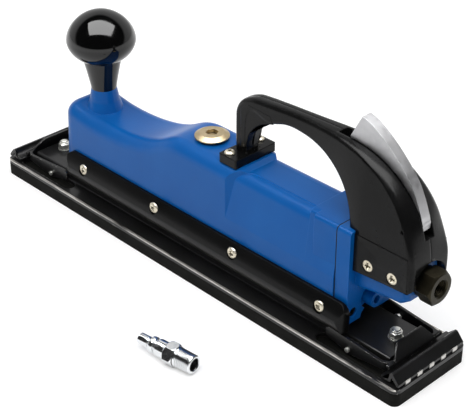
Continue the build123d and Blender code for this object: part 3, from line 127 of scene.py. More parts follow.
class Finish:
    """One node-based material, built up from its shader outwards. Lengths are metres."""

    def __init__(self, name, colour, rough, metal=0.0, rounding=0.0, shine=0.5):
        self.material = bpy.data.materials.new(name)
        self.material.use_nodes = True
        self.tree = self.material.node_tree
        self.shader = self.tree.nodes["Principled BSDF"]
        self.shader.inputs["Base Color"].default_value = (*colour, 1)
        self.shader.inputs["Roughness"].default_value = rough
        self.shader.inputs["Metallic"].default_value = metal
        self.shader.inputs["Specular IOR Level"].default_value = shine
        self.normal = None
        if rounding:
            soft = self.node("ShaderNodeBevel", samples=6)
            soft.inputs["Radius"].default_value = rounding
            self.normal = soft.outputs["Normal"]

    def node(self, kind, **values):
        made = self.tree.nodes.new(kind)
        for key, value in values.items():
            setattr(made, key, value)
        return made

    def join(self, start, end):
        self.tree.links.new(start, end)

    def place(self):
        return self.node("ShaderNodeTexCoord").outputs["Object"]

    def axis(self, name, mirrored=False):
        """A coordinate in the tool's frame, or its distance from the middle plane."""
        split = self.node("ShaderNodeSeparateXYZ")
        self.join(self.place(), split.inputs[0])
        if not mirrored:
            return split.outputs[name]
        size = self.node("ShaderNodeMath", operation="ABSOLUTE")
        self.join(split.outputs[name], size.inputs[0])
        return size.outputs[0]

    def stretched(self, stretch):
        spread = self.node("ShaderNodeMapping")
        spread.inputs["Scale"].default_value = stretch
        self.join(self.place(), spread.inputs["Vector"])
        return spread.outputs["Vector"]

    def noise(self, scale, detail=3.0, stretch=None):
        made = self.node("ShaderNodeTexNoise")
        made.inputs["Scale"].default_value = scale
        made.inputs["Detail"].default_value = detail
        made.inputs["Roughness"].default_value = grain_roughness
        self.join(self.stretched(stretch) if stretch else self.place(), made.inputs["Vector"])
        return made.outputs["Fac"]

    def span(self, source, low, high, start=0.0, end=1.0):
        made = self.node("ShaderNodeMapRange")
        made.inputs["From Min"].default_value = low
        made.inputs["From Max"].default_value = high
        made.inputs["To Min"].default_value = start
        made.inputs["To Max"].default_value = end
        self.join(source, made.inputs["Value"])
        return made.outputs["Result"]

    def times(self, first, second):
        made = self.node("ShaderNodeMath", operation="MULTIPLY")
        self.join(first, made.inputs[0])
        self.join(second, made.inputs[1])
        return made.outputs[0]

    def mix(self, factor, first, second):
        made = self.node("ShaderNodeMix", data_type="RGBA")
        self.join(factor, made.inputs["Factor"])
        for key, value in (("A", first), ("B", second)):
            socket = [i for i in made.inputs if i.name == key and i.type == "RGBA"][0]
            if isinstance(value, tuple):
                socket.default_value = (*value, 1)
            else:
                self.join(value, socket)
        return [o for o in made.outputs if o.type == "RGBA"][0]

    def clouds(self, scale, first, second, detail=3.0):
        """Soft patches of two colours."""
        return self.mix(self.span(self.noise(scale, detail), 0.35, 0.7), first, second)

    def edge(self, radius, low=0.004, high=0.12):
        """1 along edges, 0 on flats."""
        rounded = self.node("ShaderNodeBevel", samples=4)
        rounded.inputs["Radius"].default_value = radius
        flat = self.node("ShaderNodeNewGeometry").outputs["Normal"]
        dot = self.node("ShaderNodeVectorMath", operation="DOT_PRODUCT")
        self.join(rounded.outputs["Normal"], dot.inputs[0])
        self.join(flat, dot.inputs[1])
        return self.span(dot.outputs["Value"], 1 - low, 1 - high)

    def shade_mask(self, reach):
        """1 in the open, 0 deep in a recess or a corner: the mask that places painted shade."""
        made = self.node("ShaderNodeAmbientOcclusion", samples=6)
        made.inputs["Distance"].default_value = reach
        return made.outputs["AO"]

    def bump(self, source, distance):
        made = self.node("ShaderNodeBump")
        made.inputs["Distance"].default_value = distance
        self.join(source, made.inputs["Height"])
        if self.normal:
            self.join(self.normal, made.inputs["Normal"])
        self.normal = made.outputs["Normal"]

    def into(self, socket, source):
        self.join(source, self.shader.inputs[socket])

    def coat(self, weight):
        self.shader.inputs["Coat Weight"].default_value = weight
        self.shader.inputs["Coat Roughness"].default_value = coat_rough

    def worn(self, colour, rough, mask, bare):
        """Paint that gives way to bare metal where the mask is 1."""
        self.into("Base Color", self.mix(mask, colour, bare))
        self.into("Metallic", mask)
        self.into("Roughness", self.span(mask, 0, 1, rough, bare_rough))

    def done(self):
        if self.normal:
            self.join(self.normal, self.shader.inputs["Normal"])
        return self.material


def enamel(name, colour, second, rough, shine, coat):
    """Sprayed paint: orange peel, slight clouding, and edges where it thins or chips."""
    bare = (0.5, 0.5, 0.48)
    thin = tuple(min(1, 1.35 * c + 0.004) for c in second)
    made = Finish(name, colour, rough, rounding=0.5 * MM, shine=shine)
    chips = made.times(made.edge(0.5 * MM), made.span(made.noise(scale=260, detail=4), 0.72, 0.78))
    paint = made.mix(made.edge(1.2 * MM, 0.01, 0.3), made.clouds(25, colour, second), thin)
    made.worn(paint, rough, chips, bare)
    made.coat(coat)
    made.bump(made.noise(scale=520, detail=2), paint_peel)
    return made


def bare_metal(name, colour, second, rough, scale=700, stretch=None, depth=0.012 * MM):
    """Bare or plated metal with its grain, tone patches, rubbed edges, and painted shade that darkens its
    recesses and corners.
    """
    rubbed = tuple(min(1, 1.2 * c) for c in colour)
    recess_shade = tuple(0.06 * c for c in second)
    made = Finish(name, colour, rough, metal=1.0, rounding=0.25 * MM)
    grain = made.noise(scale, 4, stretch)
    metal = made.mix(made.edge(0.5 * MM), made.clouds(110, colour, second), rubbed)
    # Painted shade: recesses and corners darken towards a near-black copy of the second tone.
    made.into("Base Color", made.mix(made.span(made.shade_mask(1.8 * MM), 0.35, 0.8), recess_shade, metal))
    made.into("Roughness", made.span(grain, 0.3, 0.7, rough - 0.07, rough + 0.09))
    made.bump(grain, depth)
    return made


def moulded(name, colour, second, rough, shine, scale=900, depth=0.03 * MM, rounding=0.4 * MM):
    """Rubber, plastic or fibre: an even fine texture with cloudy gloss."""
    made = Finish(name, colour, rough, rounding=rounding, shine=shine)
    made.into("Base Color", made.clouds(45, colour, second, detail=4))
    made.into("Roughness", made.span(made.noise(scale=70), 0.3, 0.7, rough - 0.05, rough + 0.06))
    made.bump(made.noise(scale), depth)
    return made


def shoe_enamel():
    """The shoe's black paint, rubbed through along the outer top edges by the sheet clips and by handling."""
    rough, bare = 0.3, (0.62, 0.60, 0.56)
    made = Finish("shoe_enamel", (0.006, 0.006, 0.006), rough, rounding=0.5 * MM, shine=0.3)
    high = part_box("backing_pad")[1]
    rim = made.span(made.axis("Y", True), high.y - 1.7 * MM, high.y - 1.4 * MM)
    top = made.span(made.axis("Z"), high.z + 1.8 * MM, high.z + 2.1 * MM)
    scuffs = made.span(made.noise(scale=210, detail=6, stretch=(0.12, 1, 1)), 0.34, 0.50)
    chips = made.span(made.noise(scale=300, detail=5, stretch=(0.3, 1, 1)), 0.60, 0.68)
    specks = made.times(made.edge(0.6 * MM), chips)
    mask = any_of(made.tree, [made.times(made.times(rim, top), scuffs), specks])
    made.worn(made.clouds(30, (0.008, 0.008, 0.008), (0.014, 0.014, 0.015)), rough, mask, bare)
    made.coat(0.15)
    made.bump(made.noise(scale=480, detail=2), paint_peel)
    return made


def clip_enamel():
    """The clips' black paint, with bare teeth."""
    rough, bare = 0.28, (0.62, 0.61, 0.58)
    made = Finish("clip_enamel", (0.006, 0.006, 0.006), rough, rounding=0.4 * MM, shine=0.35)
    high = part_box("rear_clip")[1]
    teeth = made.span(made.axis("X", True), high.x + 0.14 * MM, high.x + 0.20 * MM)
    specks = made.times(made.edge(0.5 * MM), made.span(made.noise(scale=320, detail=5), 0.58, 0.66))
    mask = any_of(made.tree, [teeth, specks])
    made.worn(made.clouds(40, (0.005, 0.005, 0.005), (0.009, 0.009, 0.010)), rough, mask, bare)
    made.bump(made.noise(scale=480, detail=2), paint_peel)
    return made


def pad_finish():
    """The pad's rubber: dull, cut sides with fine lengthwise scoring."""
    made = moulded("pad_rubber", (0.004, 0.004, 0.0035), (0.008, 0.008, 0.007), rough=0.62, shine=0.06,
                   scale=1200, depth=0.05 * MM)
    made.bump(made.noise(scale=600, detail=4, stretch=(0.08, 1, 1)), 0.12 * MM)
    return made


def make_finishes():
    return {
        "blue_paint": enamel("blue_enamel", (0.0, 0.085, 0.33), (0.001, 0.097, 0.36), rough=0.36,
                             shine=0.15, coat=0.06),
        "black_paint": enamel("black_enamel", (0.0025, 0.0025, 0.0025), (0.004, 0.004, 0.0042), rough=0.3,
                              shine=0.12, coat=0.05),
        "pad_rubber": pad_finish(),
        "black_plastic": moulded("satin_black", (0.0035, 0.0035, 0.0035), (0.006, 0.006, 0.0062), rough=0.22,
                                 shine=0.13, rounding=1.1 * MM),
        "knob_plastic": moulded("glossy_black", (0.001, 0.001, 0.001), (0.002, 0.002, 0.0022), rough=0.08,
                                shine=0.42, scale=350, depth=0.003 * MM),
        "cast_aluminium": bare_metal("satin_aluminium", (0.47, 0.47, 0.48), (0.40, 0.40, 0.41), rough=0.40,
                                     scale=420, stretch=(1, 1, 0.25)),
        "plated_cream": bare_metal("cream_zinc", (0.72, 0.67, 0.55), (0.64, 0.58, 0.44), rough=0.40),
        "cap_brass": bare_metal("yellow_zinc", (0.48, 0.39, 0.25), (0.40, 0.32, 0.19), rough=0.42, scale=300),
        "black_oxide": bare_metal("black_oxide", (0.024, 0.021, 0.014), (0.036, 0.031, 0.020), rough=0.42),
        "bright_steel": bare_metal("bright_steel", (0.80, 0.80, 0.76), (0.68, 0.68, 0.63), rough=0.42),
        "nickel": bare_metal("nickel_plate", (0.80, 0.81, 0.82), (0.68, 0.70, 0.71), rough=0.13, scale=500,
                             depth=0.004 * MM),
        "seal_rubber": moulded("seal_rubber", (0.006, 0.006, 0.006), (0.01, 0.01, 0.01), rough=0.6,
                               shine=0.1),
        "bronze": bare_metal("sintered_bronze", (0.45, 0.30, 0.14), (0.38, 0.24, 0.10), rough=0.5),
        "wear_plastic": moulded("wear_plastic", (0.60, 0.57, 0.47), (0.55, 0.52, 0.42), rough=0.5, shine=0.3),
        "gasket_fibre": moulded("gasket_fibre", (0.012, 0.013, 0.010), (0.02, 0.021, 0.018), rough=0.8,
                                shine=0.1),
        "shoe": shoe_enamel(),
        "clip": clip_enamel(),
    }


own_finish = {"shoe_channel": "shoe", "front_clip": "clip", "rear_clip": "clip"}


# Rings of corners, and turned and milled forms, drawn along X from X = 0

def steps(start, end, count):
    return [start + (end - start) * index / count for index in range(count + 1)]


def bridge(build, rows):
    """Faces between each ring of corners and the next one of as many."""
    for first, second in zip(rows, rows[1:]):
        for index in range(len(first)):
            after = (index + 1) % len(first)
            build.faces.new((first[index], first[after], second[after], second[index]))


def lathe(stations, segments, looped=False):
    """Rings at each (place, radius); a radius may be a function of place and angle."""
    build = bmesh.new()
    rows = []
    for along, radius in stations:
        if radius == 0:
            rows.append([build.verts.new((along, 0, 0))])
            continue
        row = []
        for index in range(segments):
            turn = 2 * math.pi * index / segments
            size = radius(along, turn) if callable(radius) else radius
            row.append(build.verts.new((along, size * math.cos(turn), size * math.sin(turn))))
        rows.append(row)
    pairs = list(zip(rows, rows[1:]))
    if looped:
        pairs.append((rows[-1], rows[0]))
    for first, second in pairs:
        count = max(len(first), len(second))
        for index in range(count):
            after = (index + 1) % count
            corners = [first[index % len(first)], first[after % len(first)],
                       second[after % len(second)], second[index % len(second)]]
            build.faces.new(list(dict.fromkeys(corners)))
    bmesh.ops.recalc_face_normals(build, faces=build.faces)
    return build


def corner_radius(width):
    """From the middle of a hexagon to its corners."""
    return width / 2 / math.cos(math.pi / 6)


def hexagon(width, limit):
    """Six flats, cut back to the round that the limit gives at each place."""
    sixth = math.pi / 3

    def radius(along, turn):
        return min(width / 2 / math.cos(turn % sixth - sixth / 2), limit(along))
    return radius


def thread(start_radius, end_radius, start, end, pitch, depth):
    """A one-start thread that runs out over a pitch, on a taper where the two radii differ."""
    def radius(along, turn):
        base = start_radius + (end_radius - start_radius) * (along - start) / (end - start)
        phase = (along / pitch + turn / (2 * math.pi)) % 1
        ridge = 1 - abs(2 * phase - 1)
        run = min(1, (along - start) / pitch, (end - along) / pitch)
        return base - depth * (1 - ridge) * max(0, run)
    return radius


def dome(radius, height, count=6):
    """Places and radii over a low dome that ends at its top, X = 0."""
    points = [(-height * (1 - math.sin(turn)), radius * math.cos(turn)) for turn in steps(0, quarter, count)]
    points[-1] = (points[-1][0], 0)
    return points


# Meshes into pieces

def to_mesh(build, name):
    mesh = bpy.data.meshes.new(name)
    build.to_mesh(mesh)
    build.free()
    return mesh


def add_piece(mesh, name, slot, body, *stands_for):
    """Links a mesh as a piece of the tool that rides a body."""
    for face in mesh.polygons:
        face.use_smooth = True
    mesh.set_sharp_from_angle(angle=crease)
    mesh.materials.clear()
    mesh.materials.append(finishes[slot])
    piece = bpy.data.objects.new(name, mesh)
    scene.collection.objects.link(piece)
    level = piece.modifiers.new("level", "WEIGHTED_NORMAL")
    level.keep_sharp = True
    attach(piece, body)
    if stands_for:
        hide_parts(*stands_for)
    return piece


def gathered(mesh, poses, name):
    """One mesh holding a copy of the mesh at each pose."""
    build = bmesh.new()
    for pose in poses:
        copy = mesh.copy()
        copy.transform(pose)
        build.from_mesh(copy)
        bpy.data.meshes.remove(copy)
    return to_mesh(build, name)


def cut(mesh, cutters, operation="DIFFERENCE"):
    """The mesh less each cutter, or joined with it."""
    target = bpy.data.objects.new("cut", mesh)
    scene.collection.objects.link(target)
    helpers = []
    for cutter in cutters:
        helper = bpy.data.objects.new("cutter", cutter)
        scene.collection.objects.link(helper)
        helpers.append(helper)
        step = target.modifiers.new("cut", "BOOLEAN")
        step.operation = operation
        step.solver = "EXACT"
        step.object = helper
    shape = target.evaluated_get(bpy.context.evaluated_depsgraph_get())
    result = bpy.data.meshes.new_from_object(shape)
    for helper in helpers + [target]:
        bpy.data.objects.remove(helper)
    return result


def welded(node):
    build = bmesh.new()
    build.from_mesh(nodes[node].data)
    bmesh.ops.remove_doubles(build, verts=build.verts, dist=weld)
    return build


def solids_of(node):
    """Lowest and highest corner of each separate solid of a node."""
    build = welded(node)
    left = set(build.verts)
    found = []
    for start in build.verts:
        if start not in left:
            continue
        left.remove(start)
        group, waiting = [start], [start]
        while waiting:
            for edge in waiting.pop().link_edges:
                for vert in edge.verts:
                    if vert in left:
                        left.remove(vert)
                        waiting.append(vert)
                        group.append(vert)
        low = Vector(min(v.co[k] for v in group) for k in range(3))
        high = Vector(max(v.co[k] for v in group) for k in range(3))
        found.append((low, high))
    build.free()
    return found


def facing(direction, roll):
    """Turns a piece drawn along X so that it points in a direction."""
    turn = Vector((1, 0, 0)).rotation_difference(Vector(direction))
    return turn.to_matrix().to_4x4() @ Matrix.Rotation(roll, 4, "X")


def standing(low, high, roll=0.0):
    """Stands a piece drawn along X on the middle of a box's floor."""
    centre = (low + high) / 2
    return Matrix.Translation((centre.x, centre.y, low.z)) @ facing((0, 0, 1), roll)


# Cross-recess screws

recess_depth_share = 0.85
recess_tip_share = 0.42
recess_mouth_share = 0.96
blade_thin_share = 0.55
golden_angle = math.radians(137.5)


def wedge(span, width, depth, above):
    """A tapering blade along Y, cut into a head whose top is at X = 0."""
    build = bmesh.new()
    rows = []
    for x, share in ((above, 1.0), (0.0, recess_mouth_share), (-depth, recess_tip_share)):
        half = span / 2 * share
        thick = width / 2 * (blade_thin_share + (1 - blade_thin_share) * share)
        rows.append([build.verts.new((x, y, z)) for y, z in
                     ((-half, -thick), (half, -thick), (half, thick), (-half, thick))])
    bridge(build, rows)
    build.faces.new(rows[0])
    build.faces.new(rows[-1])
    bmesh.ops.recalc_face_normals(build, faces=build.faces)
    return build


def cross_screw(head_radius, head_height, edge, shank_radius, length, span, width):
    """A screw along X with its head's top at X = 0."""
    stations = [(-length, 0), (-length, shank_radius), (-head_height, shank_radius),
                (-head_height, head_radius)]
    stations += dome(head_radius, head_height - edge)
    mesh = to_mesh(lathe(stations, 48), "screw")
    blades = []
    for turn in (0, quarter):
        blade = wedge(span, width, recess_depth_share * head_height, head_height)
        blade.transform(Matrix.Rotation(turn, 4, "X"))
        blades.append(to_mesh(blade, "blade"))
    return cut(mesh, blades)


def screw_group(node, direction_of, head_radius, head_height, edge, shank_radius, span, width):
    """Replaces each plain screw of a node by one with a cross recess, in the same place."""
    poses, lengths = [], []
    for index, (low, high) in enumerate(solids_of(node)):
        outward = direction_of(low, high)
        length = abs((high - low).dot(outward))
        top = (low + high) / 2 + outward * length / 2
        poses.append(Matrix.Translation(top) @ facing(outward, golden_angle * index))
        lengths.append(length)
    length = max(lengths[0], head_height)
    mesh = cross_screw(head_radius, head_height, edge, shank_radius, length, span, width)
    name = node.replace("screws", "cross_screws")
    add_piece(gathered(mesh, poses, name), name, slot_of[node], body_of[node], node)


def sideways(low, high):
    return Vector((0, 1, 0)) if low.y + high.y > 0 else Vector((0, -1, 0))


def upwards(low, high):
    return Vector((0, 0, 1))


def make_screws():
    screw_group("guide_screws", sideways, head_radius=4.3 * MM, head_height=2.2 * MM, edge=0.5 * MM,
                shank_radius=2.0 * MM, span=5.2 * MM, width=1.9 * MM)
    screw_group("handle_cheek_screws", sideways, head_radius=4.1 * MM, head_height=2.2 * MM, edge=1.7 * MM,
                shank_radius=1.9 * MM, span=5.4 * MM, width=1.9 * MM)
    screw_group("handle_foot_screws", upwards, head_radius=3.7 * MM, head_height=2.2 * MM, edge=0.5 * MM,
                shank_radius=2.0 * MM, span=4.6 * MM, width=1.7 * MM)


# Nuts, studs, bushing and nipple

def make_nuts():
    """Lock nuts with chamfered flats and a rolled collar round the insert."""
    width, chamfer, chamfer_slope = 8.0 * MM, 0.7 * MM, 1.6
    shoulder, height = 4.4 * MM, 5.6 * MM
    collar, roll, roll_start = 3.6 * MM, 0.7 * MM, 0.3
    bore, mouth, mouth_depth = 2.55 * MM, 0.35 * MM, 0.5 * MM

    def limit(along):
        over = max(0, chamfer - along, along - shoulder + chamfer)
        return corner_radius(width) - chamfer_slope * over
    flats = hexagon(width, limit)
    stations = [(x, flats) for x in steps(0, chamfer, 4)]
    stations += [(x, flats) for x in steps(shoulder - chamfer, shoulder, 4)]
    stations += [(shoulder, collar), (height - roll, collar)]
    stations += [(height - roll * (1 - math.sin(a)), collar - roll * (1 - math.cos(a)))
                 for a in steps(roll_start, quarter, 4)]
    stations += [(height, bore + mouth), (height - mouth_depth, bore), (0, bore)]
    nut = to_mesh(lathe(stations, 96, True), "nut")
    poses = [standing(low, high, quarter) for low, high in solids_of("shoe_nuts")]
    add_piece(gathered(nut, poses, "lock_nuts"), "lock_nuts", "bright_steel", "shoe", "shoe_nuts")


def make_studs():
    """Threaded studs with a pressed head, through the shoe."""
    head, head_edge, thick = 8.0 * MM, 0.4 * MM, 2.5 * MM
    stud, plain, tip, tip_length = 2.48 * MM, 4 * MM, 0.5 * MM, 0.3 * MM
    pitch, depth = 0.8 * MM, 0.35 * MM
    solids = solids_of("pad_studs")
    low, high = solids[-1]
    length = high.z - low.z
    cut_start, cut_end = thick + plain, length - tip_length
    turns = thread(stud, stud, cut_start, cut_end, pitch, depth)
    stations = [(0, 0), (0, head - head_edge), (head_edge, head), (thick, head), (thick, stud)]
    stations += [(x, turns) for x in steps(cut_start, cut_end, 100)]
    stations += [(length, stud - tip), (length, 0)]
    mesh = to_mesh(lathe(stations, 32), "stud")
    poses = [standing(low, high) for low, high in solids]
    add_piece(gathered(mesh, poses, "threaded_studs"), "threaded_studs", "bright_steel", "shoe", "pad_studs")


def make_bushing():
    """Hexagon bushing with a pipe thread cut inside its mouth."""
    low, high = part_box("inlet_bushing")
    length = high.x - low.x
    width, reach, chamfer, chamfer_slope = 20.6 * MM, 10.5 * MM, 1.4 * MM, 1.5
    back, back_slope = 0.5 * MM, 0.8
    root, collar, collar_length, collar_edge = 8.5 * MM, 10.2 * MM, 3.0 * MM, 0.3 * MM
    bore, bore_length, passage, mouth = 5.7 * MM, 15.5 * MM, 4.6 * MM, 0.9 * MM
    pitch, depth = 1.41 * MM, 0.55 * MM
    flat_start = length - reach
    collar_start = flat_start - collar_length
    inner_start, inner_end = length - bore_length, length - mouth

    def limit(along):
        front = chamfer_slope * max(0, along - length + chamfer)
        return corner_radius(width) - front - back_slope * max(0, flat_start + back - along)
    flats = hexagon(width, limit)
    cut_wall = thread(bore, bore, inner_start, inner_end, pitch, -depth)
    stations = [(0, root), (collar_start, root), (collar_start, collar - collar_edge),
                (collar_start + collar_edge, collar), (flat_start, collar)]
    stations += [(x, flats) for x in steps(flat_start, flat_start + back, 2)]
    stations += [(x, flats) for x in steps(length - chamfer, length, 6)]
    stations += [(length, bore + mouth), (inner_end, bore)]
    stations += [(x, cut_wall) for x in reversed(steps(inner_start, inner_end, 90))]
    stations += [(inner_start, passage), (0, passage)]
    mesh = to_mesh(lathe(stations, 96, True), "hex_bushing")
    centre = (low + high) / 2
    mesh.transform(Matrix.Translation((low.x, centre.y, centre.z)))
    add_piece(mesh, "hex_bushing", "black_oxide", "tool", "inlet_bushing")


def make_nipple():
    """Plug nipple with its locking ball groove, chamfered hexagon and tapered pipe thread."""
    turn = math.radians(7.9)
    nose, nose_length = 4.0 * MM, 8.4 * MM
    groove, groove_length = 3.3 * MM, 1.4 * MM
    ball, ball_length, ball_round = 5.7 * MM, 4.4 * MM, 1.45 * MM
    neck, neck_length = 4.6 * MM, 1.8 * MM
    barrel, barrel_length, barrel_tuck = 6.1 * MM, 8.0 * MM, 0.3 * MM
    hex_width, hex_length, corner_cut, corner_slope = 14.3 * MM, 8.0 * MM, 1.2 * MM, 0.9
    thread_start, thread_end, thread_length = 6.8 * MM, 6.4 * MM, 14.0 * MM
    pitch, depth, undercut, run_in = 1.41 * MM, 0.75 * MM, 0.5 * MM, 0.6 * MM
    bore, tip_bore, bore_step, lip = 4.4 * MM, 2.8 * MM, 1.5 * MM, 0.4 * MM
    edge = 0.5 * MM
    groove_at = nose_length + groove_length
    ball_at = groove_at + ball_length
    neck_at = ball_at + neck_length
    hex_at = neck_at + barrel_length
    thread_at = hex_at + hex_length
    end = thread_at + thread_length

    def limit(place):
        over = max(0, hex_at + corner_cut - place, place - thread_at + corner_cut)
        return corner_radius(hex_width) - corner_slope * over
    flats = hexagon(hex_width, limit)
    stations = [(0, nose - edge), (edge, nose), (nose_length - edge, nose),
                (nose_length, nose - edge), (nose_length, groove), (groove_at, groove)]
    stations += [(groove_at + ball_round * (1 - math.cos(a)), ball - ball_round * (1 - math.sin(a)))
                 for a in steps(0, quarter, 6)]
    stations += [(ball_at - ball_round * (1 - math.sin(a)), ball - ball_round * (1 - math.cos(a)))
                 for a in steps(0, quarter, 6)]
    stations += [(ball_at, neck), (neck_at, neck), (neck_at, barrel - edge), (neck_at + edge, barrel),
                 (hex_at - edge, barrel), (hex_at, barrel - barrel_tuck)]
    stations += [(x, flats) for x in steps(hex_at, hex_at + corner_cut, 4)]
    stations += [(x, flats) for x in steps(thread_at - corner_cut, thread_at, 4)]
    stations += [(thread_at, thread_start - depth), (thread_at + undercut, thread_start - depth)]
    cut_start, cut_end = thread_at + run_in, end - edge
    taper = thread(thread_start, thread_end, cut_start, cut_end, pitch, depth)
    stations += [(x, taper) for x in steps(cut_start, cut_end, 92)]
    stations += [(end, thread_end - depth), (end, bore + lip), (end - lip, bore),
                 (hex_at, bore), (hex_at - bore_step, tip_bore), (lip, tip_bore), (0, tip_bore + lip)]
    mesh = to_mesh(lathe(stations, 96, True), "plug_nipple")
    along = Vector((math.cos(turn), math.sin(turn), 0))
    across = Vector((-math.sin(turn), math.cos(turn), 0))
    points = [vert.co for vert in nodes["air_nipple"].data.vertices]
    sides = [point.dot(across) for point in points]
    start = min(point.dot(along) for point in points)
    middle = across * (min(sides) + max(sides)) / 2 + along * start
    middle.z = min(point.z for point in points) + hex_width / 2
    mesh.transform(Matrix.Translation(middle) @ Matrix.Rotation(turn, 4, "Z"))
    add_piece(mesh, "plug_nipple", "nickel", "tool", "air_nipple")


# Sheet clips: behind the toothed edge the jaw folds up and back down to the finger tab

clip_tip = 202.2
pad_top = 12.8
jaw_wall = 189.3
jaw_half = 32.0
ring_half = 26.05
tooth_half = 2.2
tooth_pitch = 11.6
tooth_places = range(-2, 3)
past = 60
fold_outline = [(14.0, 2.2), (6.8, 2.2), (5.9, 6.4), (1.6, 1.6), (0, 1.6), (0, 3.4),
                (4.6, 8.6), (5.5, 9.3), (6.6, 9.4), (7.5, 8.8), (8.1, 4.2), (14.0, 4.2)]
tooth_outline = [(1.6, 0.05), (-0.15, 0.05), (-0.5, 1.2), (-0.5, 3.0), (-0.2, 3.6), (1.6, 3.6)]


def prism(outline, low, high):
    """A side view in X and Z, in millimetres, drawn out along Y."""
    build = bmesh.new()
    rows = [[build.verts.new((x * MM, y * MM, z * MM)) for x, z in outline] for y in (low, high)]
    bridge(build, rows)
    for row in rows:
        build.faces.new(row)
    bmesh.ops.triangulate(build, faces=[face for face in build.faces if len(face.verts) > 4])
    bmesh.ops.recalc_face_normals(build, faces=build.faces)
    return to_mesh(build, "prism")


def upright(start, end):
    """A side view that is taller than the clips."""
    return [(start, 0), (end, 0), (end, past), (start, past)]


def at_tip(outline):
    """Points given back from the clip's tip and up from the pad."""
    return [(clip_tip - back, pad_top + up) for back, up in outline]


def make_clips():
    """Swaps the plain jaw of each clip for a folded one with five teeth; the rest of the clip stays."""
    jaw = upright(jaw_wall, jaw_wall + past / 2)
    horn = upright(jaw_wall - 8, jaw_wall + 1)
    for node, turn in (("rear_clip", 0), ("front_clip", math.pi)):
        spin = Matrix.Rotation(turn, 4, "Z")
        spare = [prism(jaw, -past, past), prism(horn, ring_half, past), prism(horn, -past, -ring_half)]
        added = [prism(at_tip(fold_outline), -jaw_half, jaw_half)]
        for place in tooth_places:
            middle = place * tooth_pitch
            added.append(prism(at_tip(tooth_outline), middle - tooth_half, middle + tooth_half))
        for part in spare + added:
            part.transform(spin)
        build = bmesh.new()
        for part in [cut(to_mesh(welded(node), node), spare)] + added:
            build.from_mesh(part)
        name = node.replace("clip", "folded_clip")
        piece = add_piece(to_mesh(build, name), name, slot_of[node], body_of[node], node)
        piece.data.materials[0] = finishes[own_finish[node]]


# Nose of the housing, which stands further forward than the solid's and is rounder in plan

def make_nose():
    """Rings of a plan with two round corners, drawn in along the shoulder. Lengths are millimetres."""
    low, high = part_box("housing")
    solid_front, sunk = low.x / MM, 0.03
    foot, top = low.z / MM, 82.9
    half = high.y / MM - sunk
    front_foot, front_top, rear = solid_front - 6.6, solid_front - 3.2, solid_front + 23.0
    flank = [rear, solid_front + 20.0, solid_front + 17.5, solid_front + 15.0]
    shoulder, corner, corner_loss_share, count = 9.45, 13.0, 0.7, 12
    fall, fall_start, fall_power = 3.35, solid_front + 7.0, 0.7
    turns = steps(0, quarter, count)
    levels = [(foot, 0)]
    levels += [(top - shoulder * (1 - math.sin(a)), shoulder * (1 - math.cos(a))) for a in turns]

    def lowered(x, height):
        """The deck falls away behind the nose; the foot stays level."""
        share = max(0, (x - fall_start) / (rear - fall_start))
        return height - fall * share ** fall_power if height > foot else height
    build = bmesh.new()
    rows = []
    for height, inset in levels:
        front = front_foot + (front_top - front_foot) * (height - foot) / (top - foot) + inset
        side = half - inset
        bend = corner - inset * corner_loss_share
        plan = [(x, -side) for x in flank]
        plan += [(front + bend * (1 - math.cos(a)), -side + bend * (1 - math.sin(a)))
                 for a in reversed(turns)]
        plan += [(x, -y) for x, y in reversed(plan)]
        rows.append([build.verts.new((x * MM, y * MM, lowered(x, height) * MM)) for x, y in plan])
    bridge(build, rows)
    for row in (rows[0], rows[-1]):
        for index in range(len(row) // 2 - 1):
            build.faces.new((row[index], row[index + 1], row[-2 - index], row[-1 - index]))
    bmesh.ops.recalc_face_normals(build, faces=build.faces)
    add_piece(to_mesh(build, "cast_nose"), "cast_nose", slot_of["housing"], "tool")


# Knob, a flattened ball with a soft corner round its widest place, on a flared neck

def make_knob():
    low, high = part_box("knob")
    widest, equator = 25.5 * MM, 38.5 * MM
    crown, bowl, corner_power = 22.4 * MM, 19.0 * MM, 1.85
    foot, throat, flare_power = 9.5 * MM, 14.3 * MM, 1.15

    def swell(share):
        return (1 - share ** corner_power) ** (1 / corner_power)
    throat_height = equator - bowl * swell(throat / widest)
    stations = [(0, 0), (0, foot)]
    stations += [(throat_height * share, foot + (throat - foot) * share ** flare_power)
                 for share in steps(0, 1, 14)[1:]]
    stations += [(equator - bowl * swell(math.cos(a)), widest * math.cos(a))
                 for a in steps(math.acos(throat / widest), 0, 18)[1:]]
    stations += [(equator + crown * swell(math.cos(a)), widest * math.cos(a))
                 for a in steps(0, quarter, 30)[1:-1]]
    stations.append((equator + crown, 0))
    mesh = to_mesh(lathe(stations, 96), "turned_knob")
    mesh.transform(standing(low, high))
    add_piece(mesh, "turned_knob", "knob_plastic", "tool", "knob")


# Handle halves: the back is crowned, and the parting line is a fine groove

handle_low, handle_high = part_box("handle_near_half")
crown_side = handle_high.y - handle_low.y
crown_fall = 4.2 * MM
crown_depth = 5 * MM
crown_low = 88 * MM
crown_full = 112 * MM
slice_step = 1.3 * MM
groove_width = 0.25 * MM
groove_depth = 0.4 * MM
web_flank = 6.36
web_middle = 0.2
web_rounding = 2.6 * MM
web_flat = math.radians(0.5)
flank_normal = 0.9
bow_corner = [(42.0, 107), (42.1, 111.5), (43.9, 118), (46.0, 121.9), (48.6, 125.5), (51.7, 128.4),
              (55.0, 130.8), (58.2, 132.5), (61.5, 133.7), (66, 134.9)]
inside_bow = [(64, 140), (44, 141), (37, 136), (37, 107)]


def back_line(build):
    """The outline of the bow's back in X and Z: the hull of its side view, less the straight foot line."""
    level_way, foot_rise, back_rise = 0.98, 0.1, 0.2
    flat = [Vector((vert.co.x, vert.co.z)) for vert in build.verts]
    hull = [flat[index] for index in convex_hull_2d(flat)]
    line = []
    for start, end in zip(hull, hull[1:] + hull[:1]):
        way = (end - start).normalized()
        inward = Vector((-way.y, way.x))
        on_foot = inward.y >= foot_rise and abs(way.x) >= level_way
        if inward.y < back_rise and not on_foot:
            line.append((start, end, inward))
    return line


